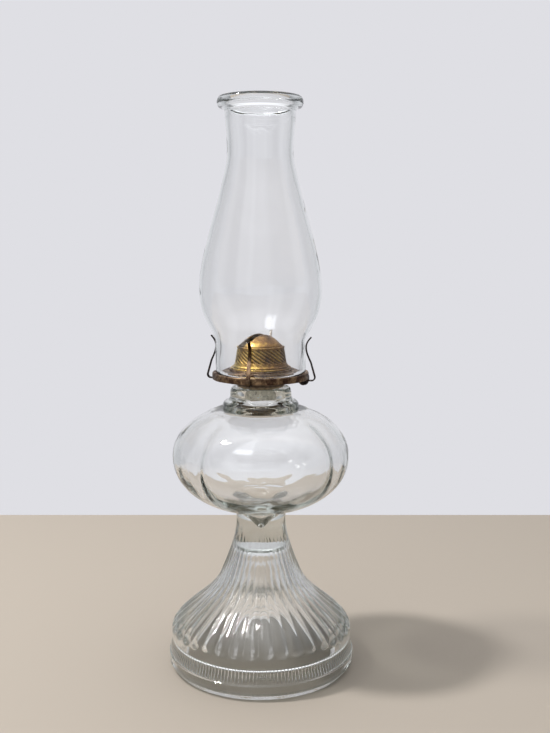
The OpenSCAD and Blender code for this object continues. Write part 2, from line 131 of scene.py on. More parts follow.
class BurnerSizes(bpy.types.PropertyGroup):
    """Sizes of the burner's sheet brass and its wick."""

    winder_turn: angle("Winder turn", "Direction of the spindle from the front, to the right", 130)
    grooves: count("Grooves", "Number of slanting grooves round the deflector", 28)
    groove_depth: length("Groove depth", "Depth of the deflector's grooves", 0.5 * MM)
    groove_slant: bpy.props.FloatProperty(
        name="Groove slant", description="Turn of the deflector's grooves about the axis, in radians a metre", default=88.0
    )
    dents: length("Dents", "How far the gallery's rim has been bent out of true", 0.35 * MM)
    prong_turn: angle("Prong turn", "Turn of the front prong from the front", -12)
    wick_w: length("Wick width", "Width of the flat wick", 15.9 * MM)
    wick_t: length("Wick thickness", "Thickness of the flat wick", 2.5 * MM)
    thread_pitch: length("Thread pitch", "Pitch of the thread in the glass mouth", 2.3 * MM)


class LampFinishes(bpy.types.PropertyGroup):
    """Colours of the lamp's materials and of the stage."""

    glass_tint: colour("Glass tint", "Colour that thick pressed glass takes", "D5D9D4")
    chimney_tint: colour("Chimney tint", "Colour that the chimney's glass takes", "DBE1E0")
    gold: colour("Golden brass", "Bare brass", "DDC178")
    tarnish: colour("Tarnish", "Brown tarnish on the brass", "7F5E38")
    stain: colour("Stain", "Purple heat stain on the deflector's cap", "46342F")
    patina: colour("Patina", "Dark patina of the gallery and burner body", "4E3B30")
    worn: colour("Worn patina", "Patina where it is rubbed", "917A60")
    pale: colour("Pale brass", "Tinned skirt of the burner", "E8E3D6")
    black: colour("Blackened brass", "Blackened prongs and thumb wheel", "3A3330")
    cotton: colour("Cotton", "Clean wick", "D9CFB6")
    char: colour("Char", "Burnt edge of the wick", "1B1613")
    wall: colour("Wall", "Backdrop", "DFDFE4")
    floor: colour("Floor", "Floor", "C4B8AA")


class StageSettings(bpy.types.PropertyGroup):
    """Camera and light."""

    focal: bpy.props.FloatProperty(
        name="Focal length", description="Focal length in millimetres on a 36 mm sensor", default=950 / 550 * 36
    )
    pitch: angle("Pitch", "How far the camera looks down", 8.1)
    camera_x: length("Camera to the right", "Place of the camera to the right of the lamp's axis", 10.1 * MM)
    camera_back: length("Camera distance", "Level distance from the camera to the lamp's axis", 665.4 * MM)
    camera_z: length("Camera height", "Height of the camera above the floor", 312.7 * MM)
    floor_back: length("Floor's far edge", "Distance of the floor's far edge behind the lamp", 359 * MM)
    backdrop: length("Backdrop", "Width of the pale wall behind the lamp", 1.4)
    key_size: length("Key light's size", "Diameter of the key light", 0.17)
    key_power: bpy.props.FloatProperty(name="Key light", description="Power of the key light in watts", default=14.0)
    room_light: bpy.props.FloatProperty(name="Room light", description="Strength of the even room light", default=0.55)
    bounces: count("Light bounces", "Bounces that light may take in the thick glass", 40)


# Curves and profiles, each an array of rows of radius and height


def bezier(points, n, start=0.0, end=1.0):
    """n + 1 points of the cubic (1-t)^3 a + 3(1-t)^2 t b + 3(1-t) t^2 c + t^3 d, with t from start to end."""
    t = np.linspace(start, end, n + 1)[:, None]
    a, b, c, d = np.asarray(points, float)
    return (1 - t) ** 3 * a + 3 * (1 - t) ** 2 * t * b + 3 * (1 - t) * t**2 * c + t**3 * d


def through(points, n):
    """Smooth line through the points, n steps a span: with p0 to p3 round a span and t from 0 to 1, it is
    (2 p1 + (p2 - p0) t + (2 p0 - 5 p1 + 4 p2 - p3) t^2 + (3 p1 - p0 - 3 p2 + p3) t^3) / 2."""
    p = np.asarray(points, float)
    ends = np.vstack([2 * p[0] - p[1], p, 2 * p[-1] - p[-2]])
    p0, p1, p2, p3 = (ends[i : len(ends) - 3 + i, None, :] for i in range(4))
    t = (np.arange(n) / n)[None, :, None]
    line = 2 * p1 + (p2 - p0) * t + (2 * p0 - 5 * p1 + 4 * p2 - p3) * t**2 + (3 * p1 - p0 - 3 * p2 + p3) * t**3
    return np.vstack([line.reshape(-1, p.shape[1]) / 2, p[-1:]])


def oval(rx, rz, z, start, end, n, power=2.1):
    """Part of the superellipse |r / rx|^p + |(h - z) / rz|^p = 1, as r = rx cos^(2/p) a and h = z + rz sin^(2/p) a."""
    a = np.radians(np.linspace(start, end, n + 1))
    c, s = np.cos(a), np.sin(a)
    return np.column_stack(
        [rx * np.abs(c) ** (2 / power), z + rz * np.sign(s) * np.abs(s) ** (2 / power)]
    )


def arc(centre, rx, rz, start, end, n):
    """Part of an ellipse: r = cr + rx cos a, h = ch + rz sin a, with a in degrees from start to end."""
    a = np.radians(np.linspace(start, end, n + 1))
    return np.column_stack([centre[0] + rx * np.cos(a), centre[1] + rz * np.sin(a)])


def inset(line, wall):
    """The line moved by wall to its left: each point goes along (-dz, dr) / |(dr, dz)| of its neighbours' step."""
    step = np.gradient(line, axis=0)
    side = np.column_stack([-step[:, 1], step[:, 0]])
    return line + wall * side / np.linalg.norm(step, axis=1)[:, None]


def joined(*parts):
    """The parts end to end, without any point that lies within a micrometre of the one before it."""
    line = np.vstack(parts)
    keep = np.r_[True, np.linalg.norm(np.diff(line, axis=0), axis=1) > 1e-6]
    return line[keep]


def ease(x):
    """0 below 0, 1 above 1 and x^2 (3 - 2 x) between."""
    s = np.clip(x, 0, 1)
    return s * s * (3 - 2 * s)


def waves(seed, a, z, size, turns, scale):
    """Slow unevenness of hand-worked glass: a sum of six sines of whole turns round the axis and of height."""
    rng = np.random.default_rng(seed)
    total = np.zeros(np.broadcast(a, z).shape)
    for _ in range(6):
        k, w, p, q = rng.integers(1, turns + 1), rng.uniform(0.4, 1.0) / scale, *rng.uniform(0, TAU, 2)
        total = total + np.sin(k * a + p) * np.sin(w * TAU * z + q)
    return total * size / 3


# Meshes


def mesh_piece(name, points, quads, triangles):
    """A smooth-shaded object from arrays of points, four-cornered faces and three-cornered faces."""
    quads, triangles = np.reshape(quads, (-1, 4)), np.reshape(triangles, (-1, 3))
    sizes = np.r_[np.full(len(quads), 4), np.full(len(triangles), 3)]
    corners = np.r_[quads.ravel(), triangles.ravel()]
    mesh = bpy.data.meshes.new(name)
    mesh.vertices.add(len(points))
    mesh.vertices.foreach_set("co", np.asarray(points, np.float32).ravel())
    mesh.loops.add(len(corners))
    mesh.loops.foreach_set("vertex_index", corners.astype(np.int32))
    mesh.polygons.add(len(sizes))
    mesh.polygons.foreach_set("loop_start", (np.cumsum(sizes) - sizes).astype(np.int32))
    mesh.polygons.foreach_set("use_smooth", np.ones(len(sizes), bool))
    mesh.update(calc_edges=True)
    if mesh.validate():
        raise RuntimeError(f"the mesh of {name} had faults")
    piece = bpy.data.objects.new(name, mesh)
    bpy.context.scene.collection.objects.link(piece)
    return piece


def between(low, high, n_low, n_high):
    """Faces between two closed rings, low and high being their first vertices. Equal rings give quads. Where one
    ring has twice the other's vertices, each long edge gives three triangles to the short edges across from it."""
    i = np.arange(min(n_low, n_high))
    j = (i + 1) % len(i)
    none = np.zeros((0, 3), int)
    if n_low == n_high:
        return np.column_stack([low + i, low + j, high + j, high + i]), none
    k, m, e = 2 * i, 2 * i + 1, (2 * i + 2) % (2 * len(i))
    if n_high == 2 * n_low:
        tris = [(low + i, high + m, high + k), (low + i, low + j, high + m), (low + j, high + e, high + m)]
    elif n_low == 2 * n_high:
        tris = [(low + k, low + m, high + i), (low + m, high + j, high + i), (low + m, low + e, high + j)]
    else:
        raise ValueError("neighbouring rings have equal counts or one has twice the other's")
    return np.zeros((0, 4), int), np.vstack([np.column_stack(t) for t in tris])


def skin(name, rings, loop=False):
    """A closed skin over rings of points that run anticlockwise, seen from above. A ring of one point is a pole.
    With loop the last ring joins the first. Going up the outside and down the inside makes faces point outwards."""
    counts = [len(r) for r in rings]
    starts = np.cumsum([0, *counts])
    quads, tris = [], []
    pairs = list(range(len(rings) - 1)) + ([-1] if loop else [])
    for p in pairs:
        low, high, n, m = starts[p % len(rings)], starts[p + 1], counts[p], counts[p + 1]
        i = np.arange(max(n, m))
        j = (i + 1) % len(i)
        if n == 1:
            tris.append(np.column_stack([np.full(m, low), high + j, high + i]))
        elif m == 1:
            tris.append(np.column_stack([low + i, low + j, np.full(n, high)]))
        else:
            four, three = between(low, high, n, m)
            quads.append(four)
            tris.append(three)
    return mesh_piece(name, np.vstack(rings), np.vstack(quads), np.vstack(tris) if tris else np.zeros((0, 3), int))


def turned_rings(line, columns, relief=None):
    """Rings (r cos a, r sin a, z) over a = TAU i / columns for each point of the line, r lessened by
    relief(r, z, a). A point on the axis gives a pole."""
    a = np.arange(columns) * TAU / columns
    rings = []
    for r, z in line:
        if r < 1e-7:
            rings.append(np.array([[0.0, 0.0, z]]))
            continue
        radius = np.full(columns, r) - (relief(r, z, a) if relief else 0)
        rings.append(np.column_stack([radius * np.cos(a), radius * np.sin(a), np.full(columns, z)]))
    return rings


def bearing(turn):
    """Angle round Z, from +X, of a direction that many radians to the right of the front."""
    return turn - math.pi / 2


def swept(name, line, section, across, normals):
    """A closed strip: the section's points (u, v) carried along the line as p + u * across + v * normal."""
    rows = line[:, None, :] + section[None, :, :1] * across[:, None, :] + section[None, :, 1:] * normals[:, None, :]
    n, m = rows.shape[:2]
    index = np.arange(n * m).reshape(n, m)
    a, b = index[:-1], index[1:]
    quads = np.stack([a, np.roll(a, -1, 1), np.roll(b, -1, 1), b], -1).reshape(-1, 4)
    centre = np.vstack([rows[0].mean(0), rows[-1].mean(0)])
    i = np.arange(m)
    first = np.column_stack([np.full(m, n * m), (i + 1) % m, i])
    last = np.column_stack([np.full(m, n * m + 1), (n - 1) * m + i, (n - 1) * m + (i + 1) % m])
    points = np.vstack([rows.reshape(-1, 3), centre])
    return mesh_piece(name, points, quads, np.vstack([first, last]))


# Materials


def add(tree, kind, inputs=None, stops=(), **settings):
    """Adds a node, sets its properties and its colour stops, each a place and a linear colour, and gives each named
    or numbered input a value or a link."""
    node = tree.nodes.new(kind)
    for key, value in settings.items():
        setattr(node, key, value)
    for key, value in (inputs or {}).items():
        if isinstance(value, bpy.types.NodeSocket):
            tree.links.new(value, node.inputs[key])
        else:
            node.inputs[key].default_value = value
    if stops:
        elements = node.color_ramp.elements
        elements[0].position, elements[-1].position = stops[0][0], stops[-1][0]
        for place, _ in stops[1:-1]:
            elements.new(place)
        for element, (_, value) in zip(elements, stops):
            element.color = (*value[:3], 1)
    return node


def new_material(name):
    """An empty node material with its output node."""
    material = bpy.data.materials.new(name)
    material.use_nodes = True
    tree = material.node_tree
    tree.nodes.clear()
    return material, tree, add(tree, "ShaderNodeOutputMaterial")


def glass_material(name, tint, density, shade, uneven, scuffed=0.0, open_from=9.0):
    """Fire-polished soda-lime glass: clear, a little green where it is thick, with slow ripples of 15 mm that bend
    what is behind it. Lamps shine through it, so that its shadow is light. Up to the height scuffed it is whitened
    by scuffs in patches of a few millimetres, as a foot is where it has stood and slid. Above the height open_from
    nearly all light passes, so that metal inside a thin neck is lit."""
    material, tree, output = new_material(name)
    place = add(tree, "ShaderNodeTexCoord").outputs["Object"]
    ripple = add(tree, "ShaderNodeTexNoise", {"Vector": place, "Scale": 65.0, "Detail": 1.0, "Roughness": 0.4})
    bump = add(
        tree, "ShaderNodeBump", {"Height": ripple.outputs["Fac"], "Strength": 1.0, "Distance": uneven}
    )
    body = add(
        tree,
        "ShaderNodeBsdfPrincipled",
        {
            "Base Color": (1, 1, 1, 1),
            "Roughness": 0.0,
            "IOR": 1.52,
            "Transmission Weight": 1.0,
            "Normal": bump.outputs["Normal"],
        },
    )
    surface = body.outputs["BSDF"]
    if scuffed:
        apart = add(tree, "ShaderNodeSeparateXYZ", {"Vector": place})
        low = add(
            tree,
            "ShaderNodeMapRange",
            {"Value": apart.outputs["Z"], "From Min": scuffed, "From Max": scuffed - 0.8 * MM},
        )
        scuffs = add(tree, "ShaderNodeTexNoise", {"Vector": place, "Scale": 800.0, "Detail": 4.0, "Roughness": 0.7})
        patchy = add(
            tree,
            "ShaderNodeMapRange",
            {"Value": scuffs.outputs["Fac"], "From Min": 0.3, "From Max": 0.7, "To Min": 0.05, "To Max": 0.3},
        )
        share = add(tree, "ShaderNodeMath", {0: low.outputs["Result"], 1: patchy.outputs["Result"]}, operation="MULTIPLY")
        white = add(tree, "ShaderNodeBsdfDiffuse", {"Color": (*srgb("F0EEE8"), 1)})
        surface = add(
            tree, "ShaderNodeMixShader", {"Fac": share.outputs[0], 1: surface, 2: white.outputs["BSDF"]}
        ).outputs["Shader"]
    level = add(
        tree,
        "ShaderNodeMapRange",
        {
            "Value": add(tree, "ShaderNodeSeparateXYZ", {"Vector": place}).outputs["Z"],
            "From Min": open_from,
            "From Max": open_from + 4 * MM,
        },
    )
    passing = add(tree, "ShaderNodeValToRGB", {"Fac": level.outputs["Result"]}, [(0.0, shade), (1.0, (0.94, 0.95, 0.94))])
    clear = add(tree, "ShaderNodeBsdfTransparent", {"Color": passing.outputs["Color"]})
    path = add(tree, "ShaderNodeLightPath")
    lighting = add(
        tree,
        "ShaderNodeMath",
        {0: path.outputs["Is Shadow Ray"], 1: path.outputs["Is Diffuse Ray"]},
        operation="MAXIMUM",
    )
    mix = add(
        tree, "ShaderNodeMixShader", {"Fac": lighting.outputs[0], 1: surface, 2: clear.outputs["BSDF"]}
    )
    depth = add(tree, "ShaderNodeVolumeAbsorption", {"Color": (*tint, 1), "Density": density})
    tree.links.new(mix.outputs["Shader"], output.inputs["Surface"])
    tree.links.new(depth.outputs["Volume"], output.inputs["Volume"])
    return material


def metal_material(name, bare, dull, stain, rough, patch, levels=None, metallic=1.0):
    """Old spun sheet brass: bare metal where it is rubbed, brown tarnish in patches a few millimetres across,
    and stains. Patches are duller than bare metal, and a fine grain of half a millimetre breaks the gloss. Levels,
    a lowest and a highest height, the stops between them and a radius, darken or lighten bands of the piece outside
    that radius."""
    material, tree, output = new_material(name)
    place = add(tree, "ShaderNodeTexCoord").outputs["Object"]
    broad = add(tree, "ShaderNodeTexNoise", {"Vector": place, "Scale": patch, "Detail": 5.0, "Roughness": 0.62})
    spots = add(tree, "ShaderNodeTexNoise", {"Vector": place, "Scale": patch * 4.5, "Detail": 4.0, "Roughness": 0.7})
    grain = add(tree, "ShaderNodeTexNoise", {"Vector": place, "Scale": 1900.0, "Detail": 2.0})
    ground = add(
        tree, "ShaderNodeValToRGB", {"Fac": broad.outputs["Fac"]}, [(0.36, bare), (0.56, dull), (0.70, stain)]
    )
    speck = add(
        tree,
        "ShaderNodeValToRGB",
        {"Fac": spots.outputs["Fac"]},
        [(0.36, (0.35, 0.31, 0.30)), (0.47, (1, 1, 1)), (0.57, (1, 1, 1)), (0.67, (2.2, 2.0, 1.9))],
    )
    tone = add(
        tree,
        "ShaderNodeMix",
        {0: 0.85, 6: ground.outputs["Color"], 7: speck.outputs["Color"]},
        data_type="RGBA",
        blend_type="MULTIPLY",
    )
    if levels:
        low, high, stops, core = levels
        apart = add(tree, "ShaderNodeSeparateXYZ", {"Vector": place})
        level = add(tree, "ShaderNodeMapRange", {"Value": apart.outputs["Z"], "From Min": low, "From Max": high})
        band = add(tree, "ShaderNodeValToRGB", {"Fac": level.outputs["Result"]}, stops)
        flat = add(tree, "ShaderNodeCombineXYZ", {"X": apart.outputs["X"], "Y": apart.outputs["Y"]})
        out = add(tree, "ShaderNodeVectorMath", {0: flat.outputs["Vector"]}, operation="LENGTH")
        inside = add(tree, "ShaderNodeMath", {0: out.outputs["Value"], 1: core}, operation="LESS_THAN")
        band = add(
            tree,
            "ShaderNodeMix",
            {0: inside.outputs[0], 6: band.outputs["Color"], 7: (1, 1, 1, 1)},
            data_type="RGBA",
        )
        tone = add(
            tree,
            "ShaderNodeMix",
            {0: 1.0, 6: tone.outputs[2], 7: band.outputs[2]},
            data_type="RGBA",
            blend_type="MULTIPLY",
        )
    gloss = add(
        tree,
        "ShaderNodeMapRange",
        {"Value": broad.outputs["Fac"], "From Min": 0.35, "From Max": 0.7, "To Min": rough, "To Max": rough + 0.28},
    )
    bump = add(tree, "ShaderNodeBump", {"Height": grain.outputs["Fac"], "Strength": 0.25, "Distance": 0.00006})
    pits = add(
        tree,
        "ShaderNodeBump",
        {"Height": spots.outputs["Fac"], "Strength": 0.6, "Distance": 0.00025, "Normal": bump.outputs["Normal"]},
    )
    body = add(
        tree,
        "ShaderNodeBsdfPrincipled",
        {
            "Base Color": tone.outputs[2],
            "Metallic": metallic,
            "Roughness": gloss.outputs["Result"],
            "Normal": pits.outputs["Normal"],
        },
    )
    tree.links.new(body.outputs["BSDF"], output.inputs["Surface"])
    return material


def gold_material(name, gold, tarnish, stain, half_width, top, burnt_at):
    """Spun brass in its golden state: bright where it is rubbed, browner and duller towards +X over the piece's
    half width and over the last 7 mm below its top, dark in its grooves and, as painted shade, in the fold
    above its skirt, with one dark brown heat stain of 8 mm about a point by the slot."""
    material, tree, output = new_material(name)
    place = add(tree, "ShaderNodeTexCoord").outputs["Object"]
    broad = add(tree, "ShaderNodeTexNoise", {"Vector": place, "Scale": 110.0, "Detail": 6.0, "Roughness": 0.66})
    spots = add(tree, "ShaderNodeTexNoise", {"Vector": place, "Scale": 520.0, "Detail": 4.0, "Roughness": 0.7})
    apart = add(tree, "ShaderNodeSeparateXYZ", {"Vector": place})
    side = add(
        tree,
        "ShaderNodeMapRange",
        {"Value": apart.outputs["X"], "From Min": -half_width, "From Max": half_width, "To Min": -0.16, "To Max": 0.2},
    )
    age = add(tree, "ShaderNodeMath", {0: broad.outputs["Fac"], 1: side.outputs["Result"]}, operation="ADD")
    age = add(tree, "ShaderNodeMath", {0: spots.outputs["Fac"], 1: 0.3, 2: age.outputs[0]}, operation="MULTIPLY_ADD")
    cap = add(
        tree,
        "ShaderNodeMapRange",
        {"Value": apart.outputs["Z"], "From Min": top - 7 * MM, "From Max": top, "To Min": 0.0, "To Max": 0.26},
    )
    age = add(tree, "ShaderNodeMath", {0: age.outputs[0], 1: cap.outputs["Result"]}, operation="ADD")
    tone = add(
        tree,
        "ShaderNodeValToRGB",
        {"Fac": age.outputs[0]},
        [(0.44, gold), (0.60, srgb("B4934F")), (0.78, tarnish), (0.98, stain)],
    )
    away = add(tree, "ShaderNodeVectorMath", {0: place, 1: burnt_at}, operation="DISTANCE")
    ragged = add(
        tree, "ShaderNodeMath", {0: broad.outputs["Fac"], 1: -0.012, 2: away.outputs["Value"]}, operation="MULTIPLY_ADD"
    )
    burnt = add(
        tree,
        "ShaderNodeMapRange",
        {"Value": ragged.outputs[0], "From Min": -0.0005, "From Max": 0.0022, "To Min": 0.95, "To Max": 0.0},
    )
    # The groove attribute darkens the grooves and puts painted shade in the fold above the skirt.
    groove = add(tree, "ShaderNodeAttribute", attribute_name="groove").outputs["Fac"]
    dark = add(tree, "ShaderNodeMath", {0: burnt.outputs["Result"], 1: groove}, operation="MAXIMUM")
    shade = add(
        tree,
        "ShaderNodeMix",
        {0: dark.outputs[0], 6: tone.outputs["Color"], 7: (*srgb("1F1613"), 1)},
        data_type="RGBA",
    )
    gloss = add(
        tree,
        "ShaderNodeMapRange",
        {"Value": age.outputs[0], "From Min": 0.45, "From Max": 0.95, "To Min": 0.2, "To Max": 0.55},
    )
    gloss = add(tree, "ShaderNodeMath", {0: burnt.outputs["Result"], 1: 0.3, 2: gloss.outputs[0]}, operation="MULTIPLY_ADD")
    bare = add(tree, "ShaderNodeMath", {0: 1.0, 1: burnt.outputs["Result"]}, operation="SUBTRACT")
    pits = add(tree, "ShaderNodeBump", {"Height": spots.outputs["Fac"], "Strength": 0.5, "Distance": 0.00022})
    body = add(
        tree,
        "ShaderNodeBsdfPrincipled",
        {
            "Base Color": shade.outputs[2],
            "Metallic": bare.outputs[0],
            "Roughness": gloss.outputs[0],
            "Normal": pits.outputs["Normal"],
        },
    )
    tree.links.new(body.outputs["BSDF"], output.inputs["Surface"])
    return material


def cotton_material(name, cotton, char, top, height):
    """Woven cotton tape, matt, with a burnt edge: char fades into scorch and clean cotton over a few millimetres."""
    material, tree, output = new_material(name)
    place = add(tree, "ShaderNodeTexCoord").outputs["Object"]
    apart = add(tree, "ShaderNodeSeparateXYZ", {"Vector": place})
    fray = add(tree, "ShaderNodeTexNoise", {"Vector": place, "Scale": 700.0, "Detail": 3.0})
    level = add(
        tree,
        "ShaderNodeMapRange",
        {"Value": apart.outputs["Z"], "From Min": top - height, "From Max": top},
    )
    burnt = add(
        tree,
        "ShaderNodeMath",
        {0: level.outputs["Result"], 1: fray.outputs["Fac"], 2: 0.1},
        operation="MULTIPLY_ADD",
    )
    tone = add(
        tree,
        "ShaderNodeValToRGB",
        {"Fac": burnt.outputs["Value"]},
        [(0.12, cotton), (0.3, srgb("8A6E4C")), (0.5, char)],
    )
    bump = add(tree, "ShaderNodeBump", {"Height": fray.outputs["Fac"], "Strength": 0.5, "Distance": 0.0001})
    body = add(
        tree,
        "ShaderNodeBsdfPrincipled",
        {
            "Base Color": tone.outputs["Color"],
            "Roughness": 0.92,
            "Sheen Weight": 0.25,
            "Normal": bump.outputs["Normal"],
        },
    )
    tree.links.new(body.outputs["BSDF"], output.inputs["Surface"])
    return material


def finish_of(name):
    """The lamp's material of that name, made when it is first asked for."""
    if name in bpy.data.materials:
        return bpy.data.materials[name]
    f = bpy.context.scene.lamp_finishes
    wick_top, dome, cup = top_of("wick"), top_of("deflector"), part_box("burner_body")
    half_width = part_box("deflector")[1][0]
    # Painted light and shade on the burner cup: the skirt keeps a pale tin colour, lightened past it as painted light
    # below the mouth; a dark line at the skirt's top and the cup above are darkened as painted shade under the gallery;
    # the lighter band where the cup rests on the mouth is a painted lit ring.
    brown, painted_lit_ring_brown = (0.17, 0.125, 0.095), (0.5, 0.4, 0.31)
    skirt_painted_light_and_shade = [(0.0, (1.2,) * 3), (0.27, (1.15,) * 3), (0.29, (0.05, 0.04, 0.03)), (0.32, brown), (0.40, brown),
                   (0.42, painted_lit_ring_brown), (0.46, painted_lit_ring_brown), (0.50, brown), (1.0, brown)]
    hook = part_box("gallery")[0][2] - 1 * MM
    prong_bands = (hook, dome - 4 * MM, [(0.0, (0.3,) * 3), (0.16, (0.45,) * 3), (0.3, (1.7,) * 3), (0.56, (1.5,) * 3),
                                         (0.64, (0.4,) * 3), (0.74, (0.2, 0.16, 0.12)), (1.0, (0.2, 0.16, 0.12))], 0.0)
    makers = {
        "pressed_glass": lambda: glass_material(name, f.glass_tint, 22.0, (0.54, 0.55, 0.54), 0.00045, 4.4 * MM, top_of("font") - 23 * MM),
        "blown_glass": lambda: glass_material(name, f.chimney_tint, 22.0, (0.92, 0.92, 0.925), 0.0003),
        "golden_brass": lambda: gold_material(
            name, f.gold, f.tarnish, f.stain, half_width, dome, (-13.0 * MM, -4.0 * MM, dome - 4.5 * MM)
        ),
        "sheet_brass": lambda: metal_material(name, f.gold, f.tarnish, f.stain, 0.32, 120.0),
        "patinated_brass": lambda: metal_material(name, f.worn, f.patina, f.stain, 0.34, 190.0),
        # Pale tin colour with the bands of painted light and shade over the cup.
        "tinned_brass_painted_light_and_shade": lambda: metal_material(
            name, f.pale, f.pale, f.pale, 0.6, 110.0, (cup[0][2], cup[1][2], skirt_painted_light_and_shade, 0.0), 0.35
        ),
        "blackened_brass": lambda: metal_material(name, f.black, f.black, f.stain, 0.42, 150.0),
        "bronzed_brass": lambda: metal_material(name, f.worn, f.patina, f.stain, 0.38, 150.0, prong_bands),
        # Painted reflection: the back prong's brass is lightened to grey where the other prongs are blackened.
        "painted_sheen_brass": lambda: metal_material(name, srgb("8E8B86"), f.worn, f.patina, 0.45, 150.0),
        "cotton_tape": lambda: cotton_material(name, f.cotton, f.char, wick_top, 6 * MM),
    }
    return makers[name]()


def finish(piece, material, slot, body, *nodes):
    """Gives a new piece its material, the body it rides on and the CAD nodes it stands for. Its slot argument is not
    used.
    """
    piece.data.materials.append(finish_of(material))
    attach(piece, body)
    if nodes:
        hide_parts(*nodes)
    return piece


# Profiles of the lamp's pieces


def bell_curves(s):
    """The bell's two Bezier curves, from the stem down to the knee and from the knee to the shoulder."""
    foot_r = s.foot_d / 2
    knee = np.array([0.4433 * foot_r, 66.42 * MM])
    stem = 17.6 * MM
    bend = np.array([22.7, 82.4]) * MM
    upper = [(stem, 108 * MM), (stem, 97.2 * MM), bend, knee]
    shoulder = foot_r - 1.7 * MM
    lower = [knee, 2 * knee - bend, (shoulder, 37 * MM), (shoulder, 27 * MM)]
    return upper, lower


def flute_relief(s):
    """Depth of the flutes: d (1 - |u|^2.2), u going from -1 at a ridge to 1 at the next, eased in above the petals'
    round ends z = 28.5 mm + 5 mm (1 - sqrt(1 - u^2)) and eased out towards the stem."""

    def relief(r, z, a):
        u = 2 * (((a - bearing(s.flute_turn)) * s.flutes / TAU) % 1) - 1
        end = 28.5 * MM + 5 * MM * (1 - np.sqrt(np.clip(1 - u * u, 0, 1)))
        fade = ease((z - end) / (1.7 * MM)) * ease((100 * MM - z) / (22 * MM))
        depth = s.flute_depth * min(1, 1.1 * r / (0.45 * s.foot_d)) * (1 - np.abs(u) ** 2.2) * fade
        return depth + waves(3, a, z, 0.05 * MM, 5, 30 * MM)

    return relief


def font_outside(s):
    """Stem fillet, bowl, dome and moulded neck, up to the edge of the mouth."""
    r, z = s.font_d / 2, 154.5 * MM
    mouth = s.mouth_d / 2
    fillet = bezier(np.array([(17.6, 108), (17.6, 112), (18.6, 115.4), (22.1, 116.6)]) * MM, 7)
    wall = oval(r, 40.5 * MM, z, -80, 0, 18)
    bowl = wall[wall[:, 0] > 22.6 * MM]
    wall = oval(r, 38 * MM, z, 0, 80, 18)
    dome = wall[wall[:, 0] > 28.9 * MM]
    collar = through(
        np.array([(28.2, 186.9), (27.0, 187.2), (26.55, 187.6), (26.8, 188.1), (26.9, 189.0), (26.9, 191.2), (26.5, 192.5),
                  (25.2, 193.9)]) * MM,
        3,
    )
    neck = through(
        [
            (24.2 * MM, 194.4 * MM),
            (mouth + 2.3 * MM, 195.2 * MM),
            (mouth + 1.6 * MM, 196.1 * MM),
            (mouth + 1.3 * MM, 197.3 * MM),
            (mouth + 1.2 * MM, 199.6 * MM),
            (mouth + 0.9 * MM, 201.5 * MM),
            (mouth + 0.4 * MM, 202.9 * MM),
            (mouth - 0.3 * MM, 203.7 * MM),
            (mouth - 1.3 * MM, 204.0 * MM),
        ],
        3,
    )
    return joined(fillet, bowl, dome, collar, neck)


def font_inside(s):
    """Bore, roof, wall and floor of the font's inside, down to the drip point on the axis."""
    r, z = s.font_d / 2 - 4.2 * MM, 154.5 * MM
    bore = through(
        np.array([(13.2, 204.0), (12.1, 203.8), (11.6, 203.2), (11.45, 202.2), (11.45, 195.0), (11.9, 192.6),
                  (13.8, 190.3), (17.6, 188.5)]) * MM,
        4,
    )
    roof = oval(r, 33.8 * MM, z, 80, 0, 16)
    pan = oval(r, 34.3 * MM, z, 0, -80, 34)
    near = ease((28 * MM - pan[:, 0]) / (6 * MM))
    pan[:, 1] += 0.2 * MM * near * np.sin(TAU * pan[:, 0] / (4.4 * MM))
    drip = through(
        np.array([(13.6, 119.75), (11.2, 118.2), (9.1, 115.7), (7.0, 112.2), (5.1, 109.2), (3.4, 105.6), (2.0, 103.2),
                  (0.8, 101.8)]) * MM,
        2,
    )
    return joined(
        bore, roof[roof[:, 0] > 20 * MM], pan[pan[:, 0] > 15.6 * MM], drip, np.array([(0.0, 101.4 * MM)])
    )


def panel_relief(s):
    """Ridges between the font's optic panels: d exp(-(x / 4.8 mm)^2) with x the way round from the nearest ridge,
    ending at the shoulder and eased out at the floor, and the slow unevenness of a blown wall. The mouth's thread
    is cut here too."""
    rest = TAU - s.front_panel
    first = bearing(s.panel_turn) + s.front_panel / 2
    ridges = first + rest * np.arange(s.panels) / (s.panels - 1)

    def relief(r, z, a):
        x = np.min([np.abs((a - ridge + math.pi) % TAU - math.pi) for ridge in ridges], axis=0) * r
        ends = ease((z - 121 * MM) / (9 * MM)) * ease((182 * MM - z) / (4 * MM))
        ridge = s.panel_depth * np.exp(-((x / (4.8 * MM)) ** 2)) * ends
        uneven = waves(7, a, z, 0.16 * MM, 4, 40 * MM) * ease((r - 12 * MM) / (20 * MM))
        turn = (z - 195.5 * MM) / bpy.context.scene.lamp_burner.thread_pitch - a / TAU
        thread = -0.45 * MM * (0.5 + 0.5 * np.cos(TAU * turn)) * ease((z - 193 * MM) / (3 * MM))
        thread = thread * ease((203.2 * MM - z) / (2 * MM)) * (abs(r - 11.5 * MM) < 0.4 * MM)
        return ridge + uneven + thread

    return relief


def hollow_line():
    """The hollow under the bell, from the top on the axis down to the step above its smooth foot."""
    crown = through(np.array([(1.5, 87.28), (5.6, 87.2), (10.0, 86.75), (13.0, 85.9), (14.6, 84.6), (15.5, 82.8)]) * MM, 2)
    wall = through(
        np.array([(15.5, 82.8), (17.2, 78.4), (21.7, 68.9), (29.2, 58.4), (39.7, 48.4), (50.5, 37.0), (55.6, 29.6),
                  (56.5, 24.6), (56.7, 20.6)]) * MM,
        3,
    )
    return joined(np.array([(0.0, 87.3 * MM)]), crown, wall)


